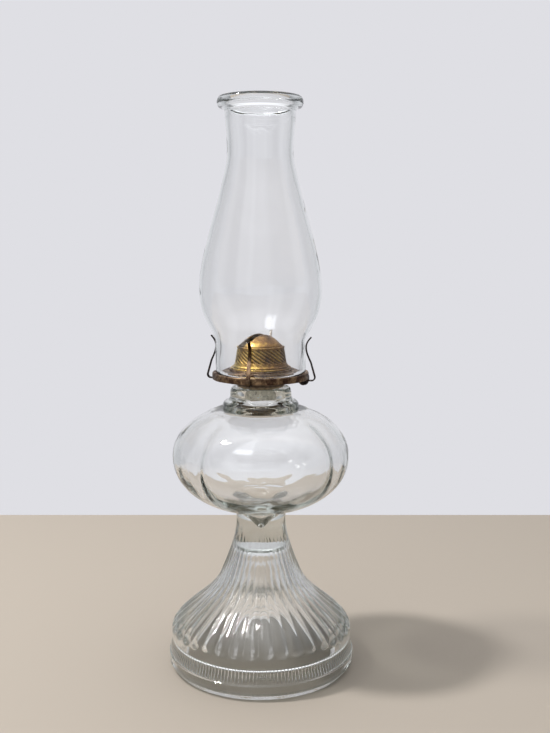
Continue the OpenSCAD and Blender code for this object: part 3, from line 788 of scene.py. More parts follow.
def make_lamp_glass(context):
    """The foot and the font, fused in the stem: one closed skin from the top of the hollow foot down, round the
    rim, up the fluted bell, the font and its neck, and down the bore to the drip point inside the font."""
    s = context.scene.lamp_glass
    foot_r = s.foot_d / 2
    upper, lower = bell_curves(s)
    chamfer = np.array([(3.85, 0.0), (3.4, 0.14), (3.1, 0.5), (1.75, 2.2), (0.5, 3.8), (0.1, 4.5), (0.0, 5.3)]) * MM
    ribbed = joined(
        through(np.array([(56.8, 19.8), (57.3, 19.3), (58.3, 18.95), (58.75, 18.4)]) * MM, 2),
        through(np.array([(58.85, 17.3), (59.4, 13.6), (60.0, 9.7)]) * MM, 2),
    )
    foot = joined(
        np.array([(60.25, 9.2), (60.75, 8.95), (60.9, 8.4)]) * MM,
        np.array([(60.95, 6.6), (61.05, 4.0), (61.2, 1.2)]) * MM,
        arc((61.9 * MM, 0.7 * MM), 0.7 * MM, 0.7 * MM, 180, 270, 3),
        through(np.column_stack([foot_r - chamfer[:, 0], chamfer[:, 1]]), 2),
    )
    inward = np.array([(0.0, 6.2), (0.0, 10.2), (0.1, 10.7), (0.45, 11.1), (0.85, 11.4), (0.95, 12.0), (1.0, 14.6),
                       (1.4, 16.4), (2.1, 17.4), (2.4, 18.8), (2.25, 21.0), (1.9, 23.6)]) * MM
    plinth = through(np.column_stack([foot_r - inward[:, 0], inward[:, 1]]), 2)
    bell = joined(bezier(lower, 26, 1, 0), bezier(upper, 15, 1, 0))
    ribs = s.ribs

    def rib_relief(r, z, a):
        ends = ease((z - 9.5 * MM) / (1.2 * MM)) * ease((19.9 * MM - z) / (0.6 * MM))
        return s.rib_depth * (0.5 + 0.5 * np.cos(ribs * (a + math.pi / 2))) * ends

    def foot_relief(r, z, a):
        return waves(5, a, z, 0.05 * MM, 6, 20 * MM) * ease(z / (4 * MM))

    columns = 12 * s.flutes
    hollow = hollow_line()

    def hollow_relief(r, z, a):
        return waves(11, a, z, 0.12 * MM, 5, 30 * MM)

    rings = [
        *turned_rings(hollow[:-1], columns // 2, hollow_relief),
        *turned_rings(hollow[-1:], columns, hollow_relief),
        *turned_rings(ribbed, 2 * columns, rib_relief),
        *turned_rings(joined(foot, plinth), columns, foot_relief),
        *turned_rings(joined(bell, np.array([upper[0]]))[:-1], columns, flute_relief(s)),
        *turned_rings(font_outside(s), columns // 2, lambda r, z, a: waves(2, a, z, 0.06 * MM, 3, 35 * MM)),
        *turned_rings(font_inside(s), columns // 2, panel_relief(s)),
    ]
    piece = skin("lamp_glass", rings)
    return finish(piece, "pressed_glass", "font_glass", "lamp", "pedestal_base", "font")


def make_chimney(context):
    """The chimney: Bezier flanks from fitter to belly to throat, a rolled lip, and an inner wall set in by the
    glass's thickness, with the ring that the roll leaves inside under the lip."""
    s = context.scene.lamp_chimney
    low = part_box("chimney")[0][2] + 0.06 * MM
    top = low + s.height - 0.06 * MM
    fitter, belly, throat, lip = s.fitter_d / 2, s.belly_d / 2, s.throat_d / 2, s.lip_d / 2
    fitter_top = low + 0.116 * s.height
    belly_z, throat_z = low + 0.306 * s.height, low + 0.813 * s.height
    half_h, half_w = 3.9 * MM, 2.6 * MM
    lip_z = top - half_h
    neck_top = (throat + 1.6 * MM, lip_z - half_h - 2.4 * MM)
    lower = bezier(
        [(fitter, fitter_top), (fitter, fitter_top + 6.5 * MM), (belly, fitter_top + 15 * MM), (belly, belly_z)], 26
    )
    upper = bezier(
        [(belly, belly_z), (belly, belly_z + 28 * MM), (throat, throat_z - 21.5 * MM), (throat, throat_z)], 34
    )
    neck = bezier(
        [(throat, throat_z), (throat, throat_z + 8 * MM), (throat + 1.4 * MM, throat_z + 14 * MM), neck_top], 9
    )
    foot = through([(fitter, low + 1.4 * MM), (fitter, low + 8 * MM), (fitter, fitter_top)], 3)
    body = joined(foot, lower, upper, neck)
    under = through([neck_top, (throat + 2.1 * MM, top - 9.0 * MM), (throat + 3.4 * MM, top - 7.9 * MM)], 3)
    bead = arc((lip - half_w, lip_z), half_w, half_h, -80, 105, 20)
    bore = inset(body, s.wall)[::-1]
    ring_z = top - 10.6 * MM
    bore = joined(through([(bore[0, 0], top - 6.0 * MM), (bore[0, 0], top - 8.6 * MM), bore[0]], 4), bore[1:])
    bore[:, 0] -= 0.55 * MM * np.exp(-(((bore[:, 1] - ring_z) / (1.2 * MM)) ** 2))
    mouth = through(
        [
            (lip - half_w - 2.0 * MM, top - 0.9 * MM),
            (throat + 0.7 * MM, top - 2.5 * MM),
            (throat - 0.5 * MM, top - 4.6 * MM),
            (bore[0, 0] + 0.15 * MM, top - 5.6 * MM),
        ],
        4,
    )
    edge = arc((fitter - s.wall / 2, low + s.wall / 2), s.wall / 2, s.wall / 2, 180, 360, 8)
    line = joined(edge[1:], body[1:], under[1:], bead, mouth, bore[:-1])

    def relief(r, z, a):
        return waves(13, a, z, 0.09 * MM, 3, 60 * MM) * ease((z - low - 4 * MM) / (20 * MM))

    piece = skin("chimney_glass", turned_rings(line, 240, relief), loop=True)
    return finish(piece, "blown_glass", "chimney_glass", "chimney", "chimney")


def make_gallery(context):
    """The stepped plate: one strip of sheet from the rolled rim in to the deck, each step a small S, and the rim
    bent in and out by d (0.6 sin 5a + 0.4 sin 11a) and crimped where the prongs hook over it."""
    s = context.scene.lamp_burner
    low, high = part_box("gallery")
    out_r, deck_z, sheet = high[0], high[2], 0.7 * MM
    seat_z = deck_z - 3.2 * MM
    wall = out_r - sheet
    rim_top = through(
        [(out_r, seat_z - 0.9 * MM), (out_r - 0.04 * MM, seat_z - 0.3 * MM), (out_r - 0.2 * MM, seat_z + 0.12 * MM),
         (out_r - 0.5 * MM, seat_z + 0.4 * MM), (wall - 0.1 * MM, seat_z + 0.45 * MM), (wall - 0.4 * MM, seat_z + 0.25 * MM),
         (wall - 0.8 * MM, seat_z + 0.03 * MM), (wall - 1.4 * MM, seat_z)],
        3,
    )
    treads = []
    for i, edge in enumerate((28.55 * MM, 25.47 * MM, 22.4 * MM)):
        foot_z, head_z = seat_z + i * 3.2 / 3 * MM, seat_z + (i + 1) * 3.2 / 3 * MM
        treads += [(edge + 0.9 * MM, foot_z), (edge + 0.25 * MM, foot_z), (edge + 0.08 * MM, foot_z + 0.1 * MM),
                   (edge, foot_z + 0.3 * MM), (edge, head_z - 0.35 * MM), (edge - 0.1 * MM, head_z - 0.1 * MM),
                   (edge - 0.35 * MM, head_z), (edge - 1.1 * MM, head_z)]
    dish = through([*treads, (15.8 * MM, deck_z)], 2)
    under = inset(dish, sheet)[::-1]
    bead = 0.55 * MM
    roll = arc((out_r - bead, low[2] + bead), bead, bead, 130, 372, 14)
    corner = np.array([(wall, seat_z - sheet)])
    side = through([(out_r, low[2] + 1.3 * MM), (out_r, seat_z - 1.2 * MM)], 3)
    line = joined(rim_top, dish, under, corner, roll, side[1:])

    def relief(r, z, a):
        outer = ease((r - out_r + 5 * MM) / (4 * MM))
        bent = s.dents * (0.6 * np.sin(5 * a + 0.7) + 0.4 * np.sin(11 * a + 2.1)) * outer
        crimp = 0.12 * MM * np.sin(47 * a + 1.3 * np.sin(3 * a)) * ease((low[2] + 2.6 * MM - z) / (1.5 * MM)) * outer
        return np.maximum(bent + crimp, -0.05 * MM) + 0.05 * MM

    rings = turned_rings(line, 288, relief)
    for ring in rings:
        a = np.arctan2(ring[:, 1], ring[:, 0])
        r = np.hypot(ring[:, 0], ring[:, 1])
        ring[:, 2] += s.dents * 0.5 * (np.sin(3 * a + 0.4) - 1) * ease((r - 31.9 * MM) / (3 * MM)) * 0.4
    piece = skin("gallery_plate", rings, loop=True)
    return finish(piece, "patinated_brass", "dark_brass", "burner", "gallery")


def make_cup(context):
    """The cup: one strip of sheet from the floor of the skirt down round its edge, out over the glass's mouth, up the
    cup's wall and out to its flange, with 18 air holes of 2 mm, each a prism of 12 sides cut through the wall."""
    low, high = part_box("burner_body")
    base, flange, sheet = low[2], high[2] - 0.6 * MM, 0.6 * MM
    mouth, skirt, cup, edge = base + 8.5 * MM, 11.15 * MM, 17 * MM, high[0]
    outside = joined(
        through([(skirt - 0.25 * MM, base), (skirt - 0.05 * MM, base + 0.15 * MM), (skirt, base + 0.6 * MM)], 2),
        through([(skirt, base + 0.7 * MM), (skirt, mouth - 0.4 * MM), (skirt + 0.25 * MM, mouth + 0.05 * MM)], 3),
        through([(skirt + 0.6 * MM, mouth + 0.1 * MM), (cup - 1.2 * MM, mouth + 0.12 * MM), (cup - 0.6 * MM, mouth + 0.35 * MM),
                 (cup - 0.2 * MM, mouth + 0.9 * MM), (cup, mouth + 2 * MM), (cup, mouth + 6 * MM), (cup, flange - 0.3 * MM),
                 (cup + 0.4 * MM, flange), (edge - 0.2 * MM, flange), (edge, flange + 0.1 * MM)], 3),
    )
    inside = np.array([(edge, flange + 0.5), (edge - 0.1 * MM, flange + sheet), (cup - sheet, flange + sheet),
                       (cup - sheet, mouth + 2 * MM), (cup - sheet - 0.4 * MM, mouth + 1 * MM),
                       (cup - 1.8 * MM, mouth + 0.1 * MM + sheet), (skirt - sheet, mouth + 0.1 * MM + sheet),
                       (skirt - sheet, base + 1.5 * MM + sheet), (0.0, base + 1.5 * MM + sheet)])
    inside[0, 1] = flange + 0.5 * MM
    under = np.array([(0.0, base + 1.5 * MM), (skirt - sheet, base + 1.5 * MM), (skirt - sheet, base + 0.1 * MM)])
    piece = skin("burner_cup", turned_rings(joined(under, outside, inside), 144))
    holes = []
    for i in range(18):
        a = bearing(context.scene.lamp_burner.winder_turn) + math.radians(4 + 20 * i)
        t = np.arange(12) * TAU / 12
        side, up = 1 * MM * np.cos(t), flange - 3.2 * MM + 1 * MM * np.sin(t)
        for r in (cup - 2 * MM, cup + 1 * MM):
            holes.append(np.column_stack([
                r * math.cos(a) + side * math.sin(a), r * math.sin(a) - side * math.cos(a), up
            ]))
    index = np.arange(18)[:, None] * 24
    i, j = np.arange(12), (np.arange(12) + 1) % 12
    walls = np.stack(np.broadcast_arrays(index + i, index + 12 + i, index + 12 + j, index + j), -1).reshape(-1, 4)
    fans = [np.stack(np.broadcast_arrays(index, index + i[1:-1], index + j[1:-1]), -1).reshape(-1, 3),
            np.stack(np.broadcast_arrays(index + 12, index + 12 + j[1:-1], index + 12 + i[1:-1]), -1).reshape(-1, 3)]
    cut_with(piece, mesh_piece("hole_cutter", np.vstack(holes), walls, np.vstack(fans)))
    return finish(piece, "tinned_brass_painted_light_and_shade", "dark_brass", "burner", "burner_body")


def make_deflector(context):
    """The dome over the wick: a spun shell whose flank has grooves slanting down to the right,
    d ((1 + cos(n (a + k z))) / 2)^1.4, under a bead and a cap that is part of a ball, with the flame slot cut out of it."""
    s = context.scene.lamp_burner
    low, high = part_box("deflector")
    foot, foot_z, top = high[0], low[2], high[2]
    neck, sheet, cap_h = 16.5 * MM, 0.7 * MM, 8.6 * MM
    cap_r, cap_z = neck - 0.9 * MM, top - cap_h
    ball = (cap_r**2 + cap_h**2) / (2 * cap_h)
    skirt = through(
        [(foot, foot_z + 0.1 * MM), (foot, foot_z + 0.75 * MM), (foot - 0.35 * MM, foot_z + 1.15 * MM),
         (foot - 0.95 * MM, foot_z + 1.2 * MM), (foot - 1.35 * MM, foot_z + 0.95 * MM),
         (foot - 1.6 * MM, foot_z + 1.25 * MM), (foot - 1.65 * MM, foot_z + 1.8 * MM)],
        3,
    )
    flare = bezier(
        [(foot - 1.7 * MM, foot_z + 2.0 * MM), (foot - 3.7 * MM, foot_z + 3.6 * MM), (neck + 1.1 * MM, foot_z + 8 * MM),
         (neck, cap_z - 1.5 * MM)],
        36,
    )
    shoulder = through(
        [(neck + 0.1 * MM, cap_z - 1.4 * MM), (neck + 0.35 * MM, cap_z - 1.15 * MM), (neck + 0.38 * MM, cap_z - 0.7 * MM),
         (neck + 0.15 * MM, cap_z - 0.35 * MM), (neck - 0.5 * MM, cap_z - 0.2 * MM), (cap_r - 0.05 * MM, cap_z)],
        3,
    )
    edge = math.degrees(math.acos(cap_r / ball))
    cap = arc((0, top - ball), ball, ball, edge, 90, 26)
    cap[-1, 0] = 0
    outer = joined(flare, shoulder, cap)
    inner = inset(joined(flare, cap), sheet)[::-1]
    inner[0] = (0, top - sheet)
    inside = joined(inner, np.array([(foot - 2.3 * MM, foot_z + 0.7 * MM), (foot - 2.3 * MM, foot_z)]))
    line = joined(inside, np.array([(foot - 0.2 * MM, foot_z)]), skirt, outer)
    first_outside = len(inside) + 1

    def groove(z, a):
        wave = (0.5 + 0.5 * np.cos(s.grooves * (a + s.groove_slant * z))) ** 1.4
        return wave * ease((z - foot_z - 4.2 * MM) / (1.4 * MM)) * ease((cap_z - 1.6 * MM - z) / (1 * MM))

    outside = turned_rings(line[first_outside:], 456, lambda r, z, a: s.groove_depth * groove(z, a))
    rings = [*turned_rings(line[:first_outside], 456), *outside]
    piece = skin("deflector_dome", rings)
    points = np.vstack(rings)
    a, z = np.arctan2(points[:, 1], points[:, 0]), points[:, 2]
    shown = np.concatenate([np.full(len(ring), i >= first_outside) for i, ring in enumerate(rings)])
    # Painted shade: the fold above the skirt is darkened through the groove attribute, as the grooves are.
    fold_painted_shade = np.exp(-(((z - foot_z - 1.1 * MM) / (0.35 * MM)) ** 2)) * (np.hypot(points[:, 0], points[:, 1]) < foot - 1.2 * MM)
    depth = np.maximum(0.9 * groove(z, a), 0.95 * fold_painted_shade) * shown
    piece.data.attributes.new("groove", "FLOAT", "POINT").data.foreach_set("value", depth.astype(np.float32))
    cut_slot(piece, bearing(s.winder_turn), cap_z + 2 * MM, top + 3 * MM)
    return finish(piece, "golden_brass", "brass", "burner", "deflector")


def cut_slot(piece, turn, low, high):
    """Cuts the flame slot: a prism over the outline |x| = 12 mm, |y| = 3.25 mm with rounded ends, along turn."""
    half_l, half_w, n = 12.0 * MM, 3.25 * MM, 12
    ends = np.vstack([
        arc((half_l - 1.2 * MM, half_w - 1.2 * MM), 1.2 * MM, 1.2 * MM, 0, 90, n // 2),
        arc((-half_l + 1.2 * MM, half_w - 1.2 * MM), 1.2 * MM, 1.2 * MM, 90, 180, n // 2),
        arc((-half_l + 1.2 * MM, -half_w + 1.2 * MM), 1.2 * MM, 1.2 * MM, 180, 270, n // 2),
        arc((half_l - 1.2 * MM, -half_w + 1.2 * MM), 1.2 * MM, 1.2 * MM, 270, 360, n // 2),
    ])
    c, t = math.cos(turn), math.sin(turn)
    flat = np.column_stack([ends[:, 0] * c - ends[:, 1] * t, ends[:, 0] * t + ends[:, 1] * c])
    rings = [np.column_stack([flat, np.full(len(flat), z)]) for z in (low, high)]
    poles = [np.array([[0.0, 0.0, low]]), np.array([[0.0, 0.0, high]])]
    cut_with(piece, skin("slot_cutter", [poles[0], *rings, poles[1]]))


def cut_with(piece, cutter):
    """Takes the cutter's solid out of the piece and takes the cutter away."""
    cut = piece.modifiers.new("cut", "BOOLEAN")
    cut.operation, cut.solver, cut.object = "DIFFERENCE", "EXACT", cutter
    graph = bpy.context.evaluated_depsgraph_get()
    mesh = bpy.data.meshes.new_from_object(piece.evaluated_get(graph), depsgraph=graph)
    piece.modifiers.clear()
    piece.data = mesh
    bpy.data.objects.remove(cutter)


def prong_line(seat_z, gallery_r, low_z, waist_r):
    """Middle line of a prong as radius and height: under the plate, round the rolled rim, out and up in an S to
    the waist that bears on the chimney, and out again at the tip."""
    under_z = seat_z - 1.2 * MM
    inside_r = gallery_r - 1.85 * MM
    belly = 2.4 * MM
    return joined(
        np.array([(inside_r - 6 * MM, under_z)]),
        arc((inside_r - 1 * MM, under_z - 1 * MM), 1 * MM, 1 * MM, 90, 0, 8),
        arc((inside_r + 1 * MM, low_z + 1 * MM), 1 * MM, 1 * MM, 180, 270, 8),
        arc((gallery_r + 2.2 * MM, low_z + belly), belly, belly, 270, 375, 16),
        bezier([(waist_r + 3.4 * MM, seat_z + 8 * MM), (waist_r + 1 * MM, seat_z + 13 * MM),
                (waist_r, seat_z + 15.5 * MM), (waist_r, seat_z + 18.5 * MM)], 14),
        bezier([(waist_r, seat_z + 18.5 * MM), (waist_r, seat_z + 21.5 * MM), (waist_r + 1.6 * MM, seat_z + 23.5 * MM),
                (waist_r + 3.6 * MM, seat_z + 25.6 * MM)], 12),
    )


def make_prong(context, node, turn, material):
    """A spring strip: a flat section with round edges, |u / w|^4 + |v / t|^4 = 1, carried along the prong's line,
    its width easing from foot to tip."""
    gallery_low, gallery_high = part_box("gallery")
    seat_z, gallery_r = gallery_high[2] - 3.2 * MM, gallery_high[0]
    thick = 1.0 * MM
    waist_r = context.scene.lamp_chimney.fitter_d / 2 + 0.3 * MM + thick / 2
    flat = prong_line(seat_z, gallery_r, gallery_low[2] - 0.25 * MM - thick / 2, waist_r)
    a = bearing(turn)
    out = np.array([math.cos(a), math.sin(a), 0.0])
    line = flat[:, :1] * out + flat[:, 1:] * np.array([0, 0, 1.0])
    step = np.gradient(line, axis=0)
    step /= np.linalg.norm(step, axis=1)[:, None]
    across = np.tile([-math.sin(a), math.cos(a), 0.0], (len(line), 1))
    normals = np.cross(step, across)
    width = np.interp(flat[:, 1], [seat_z, seat_z + 26 * MM], [3.3 * MM, 1.9 * MM]) / 2
    t = np.arange(16) * TAU / 16
    c, d = np.cos(t), np.sin(t)
    section = np.column_stack([np.sign(c) * np.abs(c) ** 0.5, np.sign(d) * np.abs(d) ** 0.5 * thick / 2])
    piece = swept(node + "_strip", line, section, across * width[:, None], normals)
    return finish(piece, material, "blackened", "burner", node)


def make_wick(context):
    """The flat wick: the outline |x / w|^p + |y / t|^p = 1 carried up Z, its face raised by the weave
    0.09 mm sin(kx) sin(kz) with threads 1.1 mm apart, and its top edge ragged where it is burnt."""
    s = context.scene.lamp_burner
    low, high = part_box("wick")
    n, rows = 160, 90
    t = np.arange(n) * TAU / n
    c, d = np.cos(t), np.sin(t)
    x = (s.wick_w / 2) * np.sign(c) * np.abs(c) ** 0.55
    y = (s.wick_t / 2) * np.sign(d) * np.abs(d) ** 0.35
    z = np.linspace(low[2], high[2], rows)
    k = TAU / (2.2 * MM)
    weave = 0.09 * MM * np.sin(k * x)[None, :] * np.sin(k * z)[:, None]
    track = 0.95 * MM * sum(np.exp(-(((x - m * s.wick_w / 4) / (0.7 * MM)) ** 4)) for m in (-1, 1)) * (y > 0)
    yy = y[None, :] * 0.93 - track[None, :] + weave * np.sign(y)[None, :]
    ragged = 0.35 * MM * np.sin(9 * t) * np.sin(23 * t + 1)
    zz = z[:, None] + ragged[None, :] * ease((z[:, None] - high[2] + 3 * MM) / (3 * MM)) - 0.35 * MM
    zz = np.maximum(zz, low[2])
    a = bearing(s.winder_turn)
    along, side = np.array([math.cos(a), math.sin(a)]), np.array([-math.sin(a), math.cos(a)])
    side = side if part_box("spur_wheel_inner")[0][1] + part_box("spur_wheel_inner")[1][1] < 0 and side[1] < 0 else -side
    rings = []
    for row in range(rows):
        flat = x[:, None] * along + yy[row][:, None] * side
        rings.append(np.column_stack([flat, zz[row]]))
    if np.cross(along, side) < 0:
        rings = [ring[::-1] for ring in rings]
    rings = [rings[0].mean(0)[None], *rings, rings[-1].mean(0)[None]]
    piece = skin("wick_tape", rings)
    return finish(piece, "cotton_tape", "cotton", "wick", "wick")


KEPT_FINISHES = {
    "air_screen": "sheet_brass",
    "wick_tube": "sheet_brass",
    "vent_tube": "sheet_brass",
    "wheel_housing": "sheet_brass",
    "spindle_sleeve": "patinated_brass",
    "wick_spindle": "sheet_brass",
    "spur_wheel_inner": "sheet_brass",
    "spur_wheel_outer": "sheet_brass",
    "wick_knob": "blackened_brass",
}


def make_stage(context):
    """A pale floor that ends behind the lamp, a pale wall beyond it, a key light high on the left where the
    photograph's light stands, an even room light, and the camera. Glass and metal see a room that is bright behind
    the lamp and above it, pale beside and before it and dark between these, with one window on the left."""
    s, f = context.scene.lamp_stage, context.scene.lamp_finishes

    def sheet(name, corners, material):
        mesh = bpy.data.meshes.new(name)
        mesh.from_pydata(corners, [], [(0, 1, 2, 3)])
        plane = bpy.data.objects.new(name, mesh)
        context.scene.collection.objects.link(plane)
        mesh.materials.append(material)

    floor, tree, output = new_material("floor_paint")
    paint = add(tree, "ShaderNodeBsdfPrincipled", {"Base Color": (*f.floor, 1), "Roughness": 0.8})
    tree.links.new(paint.outputs["BSDF"], output.inputs["Surface"])
    wall, tree, output = new_material("wall_paint")
    path = add(tree, "ShaderNodeLightPath")
    seen = add(
        tree, "ShaderNodeMath", {0: path.outputs["Is Camera Ray"], 1: path.outputs["Is Glossy Ray"]}, operation="ADD"
    )
    seen = add(
        tree,
        "ShaderNodeMath",
        {0: seen.outputs[0], 1: path.outputs["Is Transmission Ray"]},
        operation="ADD",
        use_clamp=True,
    )
    matt = add(tree, "ShaderNodeBsdfDiffuse", {"Color": (*f.wall, 1)})
    lit = add(tree, "ShaderNodeEmission", {"Color": (*f.wall, 1), "Strength": 1.0})
    mix = add(
        tree, "ShaderNodeMixShader", {"Fac": seen.outputs[0], 1: matt.outputs["BSDF"], 2: lit.outputs["Emission"]}
    )
    tree.links.new(mix.outputs["Shader"], output.inputs["Surface"])
    wide, back, front = 4.0, s.floor_back, -3.0
    z = -0.1 * MM
    sheet("floor", [(-wide, front, z), (wide, front, z), (wide, back, z), (-wide, back, z)], floor)
    far, side, low, high = 1.6, s.backdrop / 2, -0.9, 1.5
    sheet("backdrop", [(-side, far, low), (side, far, low), (side, far, high), (-side, far, high)], wall)

    def lamp(name, where, size, power, target=(0, 0, 0.2)):
        data = bpy.data.lights.new(name, "AREA")
        data.shape, data.size, data.energy = "DISK", size, power
        light = bpy.data.objects.new(name, data)
        context.scene.collection.objects.link(light)
        light.location = where
        aim = light.location - type(light.location)(target)
        light.rotation_euler = aim.to_track_quat("Z", "Y").to_euler()

    lamp("key", (-0.78, -0.10, 1.36), s.key_size, s.key_power)
    world = bpy.data.worlds.new("room")
    context.scene.world = world
    world.use_nodes = True
    tree = world.node_tree
    tree.nodes.clear()
    path = add(tree, "ShaderNodeLightPath")
    way = add(tree, "ShaderNodeSeparateXYZ", {"Vector": add(tree, "ShaderNodeTexCoord").outputs["Generated"]})
    behind = add(
        tree,
        "ShaderNodeMapRange",
        {"Value": way.outputs["Y"], "From Min": 0.3, "From Max": 0.97, "To Min": 0.16, "To Max": 0.78},
    )
    above = add(
        tree,
        "ShaderNodeMapRange",
        {"Value": way.outputs["Z"], "From Min": 0.45, "From Max": 0.95, "To Min": 0.0, "To Max": 1.7},
    )
    level = add(tree, "ShaderNodeCombineXYZ", {"X": way.outputs["X"], "Y": way.outputs["Y"]})
    level = add(tree, "ShaderNodeVectorMath", {0: level.outputs["Vector"]}, operation="NORMALIZE")
    apart = add(tree, "ShaderNodeSeparateXYZ", {"Vector": level.outputs["Vector"]})
    beside = add(tree, "ShaderNodeMath", {0: apart.outputs["X"]}, operation="ABSOLUTE")
    beside = add(
        tree,
        "ShaderNodeMapRange",
        {"Value": beside.outputs[0], "From Min": 0.93, "From Max": 0.985, "To Min": 0.0, "To Max": 0.5},
    )
    before = add(
        tree,
        "ShaderNodeMapRange",
        {"Value": apart.outputs["Y"], "From Min": -0.88, "From Max": -0.985, "To Min": 0.0, "To Max": 0.42},
    )
    through_glass = add(
        tree,
        "ShaderNodeMapRange",
        {"Value": apart.outputs["Y"], "From Min": -0.12, "From Max": -0.5, "To Min": 0.0, "To Max": 0.55},
    )
    unmirrored = add(tree, "ShaderNodeMath", {0: path.outputs["Glossy Depth"], 1: 0.5}, operation="LESS_THAN")
    through_glass = add(
        tree,
        "ShaderNodeMath",
        {0: through_glass.outputs["Result"], 1: unmirrored.outputs[0]},
        operation="MULTIPLY",
    )
    before = add(
        tree,
        "ShaderNodeMath",
        {0: before.outputs["Result"], 1: through_glass.outputs[0]},
        operation="MAXIMUM",
    )
    facing = add(
        tree, "ShaderNodeVectorMath", {0: level.outputs["Vector"], 1: (-0.52, -0.854, 0.0)}, operation="DOT_PRODUCT"
    )
    window = add(
        tree,
        "ShaderNodeMapRange",
        {"Value": facing.outputs["Value"], "From Min": 0.94, "From Max": 0.98, "To Min": 0.0, "To Max": 1.0},
    )
    pane = add(
        tree,
        "ShaderNodeMapRange",
        {"Value": way.outputs["Z"], "From Min": 0.66, "From Max": 0.74, "To Min": 0.6, "To Max": 4.5},
    )
    ceiling = add(
        tree,
        "ShaderNodeMapRange",
        {"Value": way.outputs["Z"], "From Min": 0.8, "From Max": 0.86, "To Min": 1.0, "To Max": 0.3},
    )
    pane = add(tree, "ShaderNodeMath", {0: pane.outputs["Result"], 1: ceiling.outputs["Result"]}, operation="MULTIPLY")
    window = add(tree, "ShaderNodeMath", {0: window.outputs["Result"], 1: pane.outputs[0]}, operation="MULTIPLY")
    reflected = add(tree, "ShaderNodeMath", {0: path.outputs["Glossy Depth"], 1: 0.5}, operation="GREATER_THAN")
    window = add(tree, "ShaderNodeMath", {0: window.outputs[0], 1: reflected.outputs[0]}, operation="MULTIPLY")
    room = add(tree, "ShaderNodeMath", {0: behind.outputs["Result"], 1: above.outputs["Result"]}, operation="ADD")
    room = add(tree, "ShaderNodeMath", {0: room.outputs[0], 1: beside.outputs["Result"]}, operation="ADD")
    room = add(tree, "ShaderNodeMath", {0: room.outputs[0], 1: before.outputs[0]}, operation="ADD")
    room = add(tree, "ShaderNodeMath", {0: room.outputs[0], 1: window.outputs[0]}, operation="ADD")
    sharp = add(
        tree,
        "ShaderNodeMath",
        {0: path.outputs["Is Glossy Ray"], 1: path.outputs["Is Transmission Ray"]},
        operation="MAXIMUM",
    )
    even = add(tree, "ShaderNodeBackground", {"Color": (0.96, 0.98, 1.0, 1), "Strength": s.room_light})
    mirrored = add(tree, "ShaderNodeBackground", {"Color": (0.94, 0.96, 1.0, 1), "Strength": room.outputs[0]})
    shown = add(tree, "ShaderNodeBackground", {"Color": (*f.wall, 1), "Strength": 1.0})
    mix = add(
        tree,
        "ShaderNodeMixShader",
        {"Fac": sharp.outputs[0], 1: even.outputs["Background"], 2: mirrored.outputs["Background"]},
    )
    mix = add(
        tree,
        "ShaderNodeMixShader",
        {"Fac": path.outputs["Is Camera Ray"], 1: mix.outputs["Shader"], 2: shown.outputs["Background"]},
    )
    end = add(tree, "ShaderNodeOutputWorld", {"Surface": mix.outputs["Shader"]})
    end.is_active_output = True
    cycles = context.scene.cycles
    cycles.max_bounces, cycles.glossy_bounces, cycles.transmission_bounces = (s.bounces,) * 3

    data = bpy.data.cameras.new("camera")
    data.sensor_fit, data.sensor_width, data.lens = "HORIZONTAL", 36.0, s.focal
    camera = bpy.data.objects.new("camera", data)
    context.scene.collection.objects.link(camera)
    camera.location = (s.camera_x, -s.camera_back, s.camera_z)
    camera.rotation_euler = (math.pi / 2 - s.pitch, 0, 0)
    context.scene.camera = camera
    context.scene.view_settings.view_transform = "Standard"


# Operators


class LAMP_OT_glass(bpy.types.Operator):
    """Builds the fused glass foot, stem and font"""

    bl_idname = "lamp.glass"
    bl_label = "Lamp glass"

    def execute(self, context):
        make_lamp_glass(context)
        return {"FINISHED"}


class LAMP_OT_chimney(bpy.types.Operator):
    """Builds the glass chimney"""

    bl_idname = "lamp.chimney"
    bl_label = "Chimney"

    def execute(self, context):
        make_chimney(context)
        return {"FINISHED"}


class LAMP_OT_burner(bpy.types.Operator):
    """Builds the burner's gallery, deflector and prongs, and finishes its turned and cut pieces"""

    bl_idname = "lamp.burner"
    bl_label = "Burner"

    def execute(self, context):
        make_cup(context)
        make_gallery(context)
        make_deflector(context)
        turn = context.scene.lamp_burner.prong_turn
        # The back prong's grey finish is a painted reflection.
        finishes = {"front": "bronzed_brass", "right": "blackened_brass", "back": "painted_sheen_brass", "left": "blackened_brass"}
        for i, (side, material) in enumerate(finishes.items()):
            make_prong(context, "prong_" + side, turn + i * math.pi / 2, material)
        for node, material in KEPT_FINISHES.items():
            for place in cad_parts[node].material_slots:
                place.material = finish_of(material)
        return {"FINISHED"}


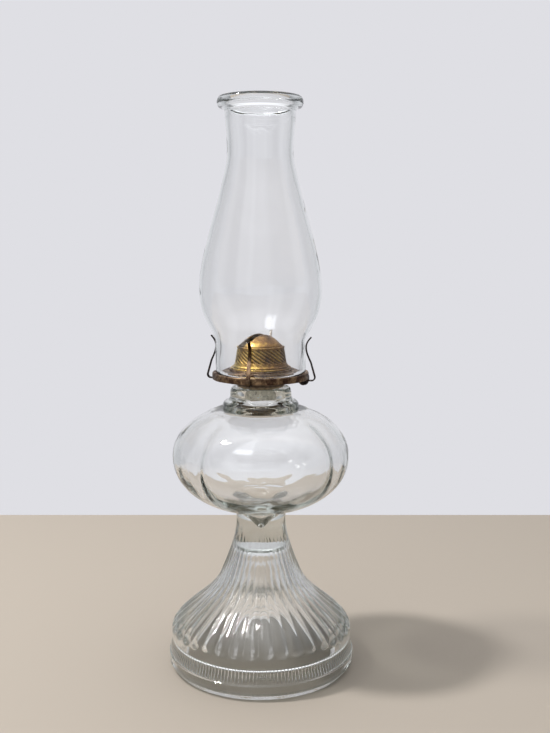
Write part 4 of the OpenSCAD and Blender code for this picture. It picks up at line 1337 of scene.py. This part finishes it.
class LAMP_OT_wick(bpy.types.Operator):
    """Builds the woven wick with its burnt edge"""

    bl_idname = "lamp.wick"
    bl_label = "Wick"

    def execute(self, context):
        make_wick(context)
        return {"FINISHED"}


class LAMP_OT_stage(bpy.types.Operator):
    """Sets up the floor, wall, lights and camera"""

    bl_idname = "lamp.stage"
    bl_label = "Stage"

    def execute(self, context):
        make_stage(context)
        return {"FINISHED"}


class LAMP_PT_panel(bpy.types.Panel):
    """Lists the lamp's pieces in the sidebar"""

    bl_idname = "LAMP_PT_panel"
    bl_label = "Kerosene lamp"
    bl_space_type = "VIEW_3D"
    bl_region_type = "UI"
    bl_category = "Lamp"

    def draw(self, context):
        for operator in OPERATORS:
            self.layout.operator(operator.bl_idname)
        for group in GROUPS:
            settings = getattr(context.scene, group)
            box = self.layout.box()
            for name in settings.__annotations__:
                box.prop(settings, name)


OPERATORS = (LAMP_OT_glass, LAMP_OT_chimney, LAMP_OT_burner, LAMP_OT_wick, LAMP_OT_stage)
GROUPS = {
    "lamp_glass": LampGlassSizes,
    "lamp_chimney": ChimneySizes,
    "lamp_burner": BurnerSizes,
    "lamp_finishes": LampFinishes,
    "lamp_stage": StageSettings,
}


def register():
    """Registers the property groups, operators and panel, and puts the groups on the scene."""
    for name, group in GROUPS.items():
        bpy.utils.register_class(group)
        setattr(bpy.types.Scene, name, bpy.props.PointerProperty(type=group))
    for cls in (*OPERATORS, LAMP_PT_panel):
        bpy.utils.register_class(cls)


def unregister():
    """Takes away what register put in."""
    for cls in (LAMP_PT_panel, *reversed(OPERATORS)):
        bpy.utils.unregister_class(cls)
    for name, group in reversed(list(GROUPS.items())):
        delattr(bpy.types.Scene, name)
        bpy.utils.unregister_class(group)


def main():
    register()
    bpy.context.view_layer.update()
    bpy.ops.lamp.glass()
    bpy.ops.lamp.chimney()
    bpy.ops.lamp.burner()
    bpy.ops.lamp.wick()
    bpy.ops.lamp.stage()
    bpy.context.view_layer.update()


if __name__ == "__main__":
    main()
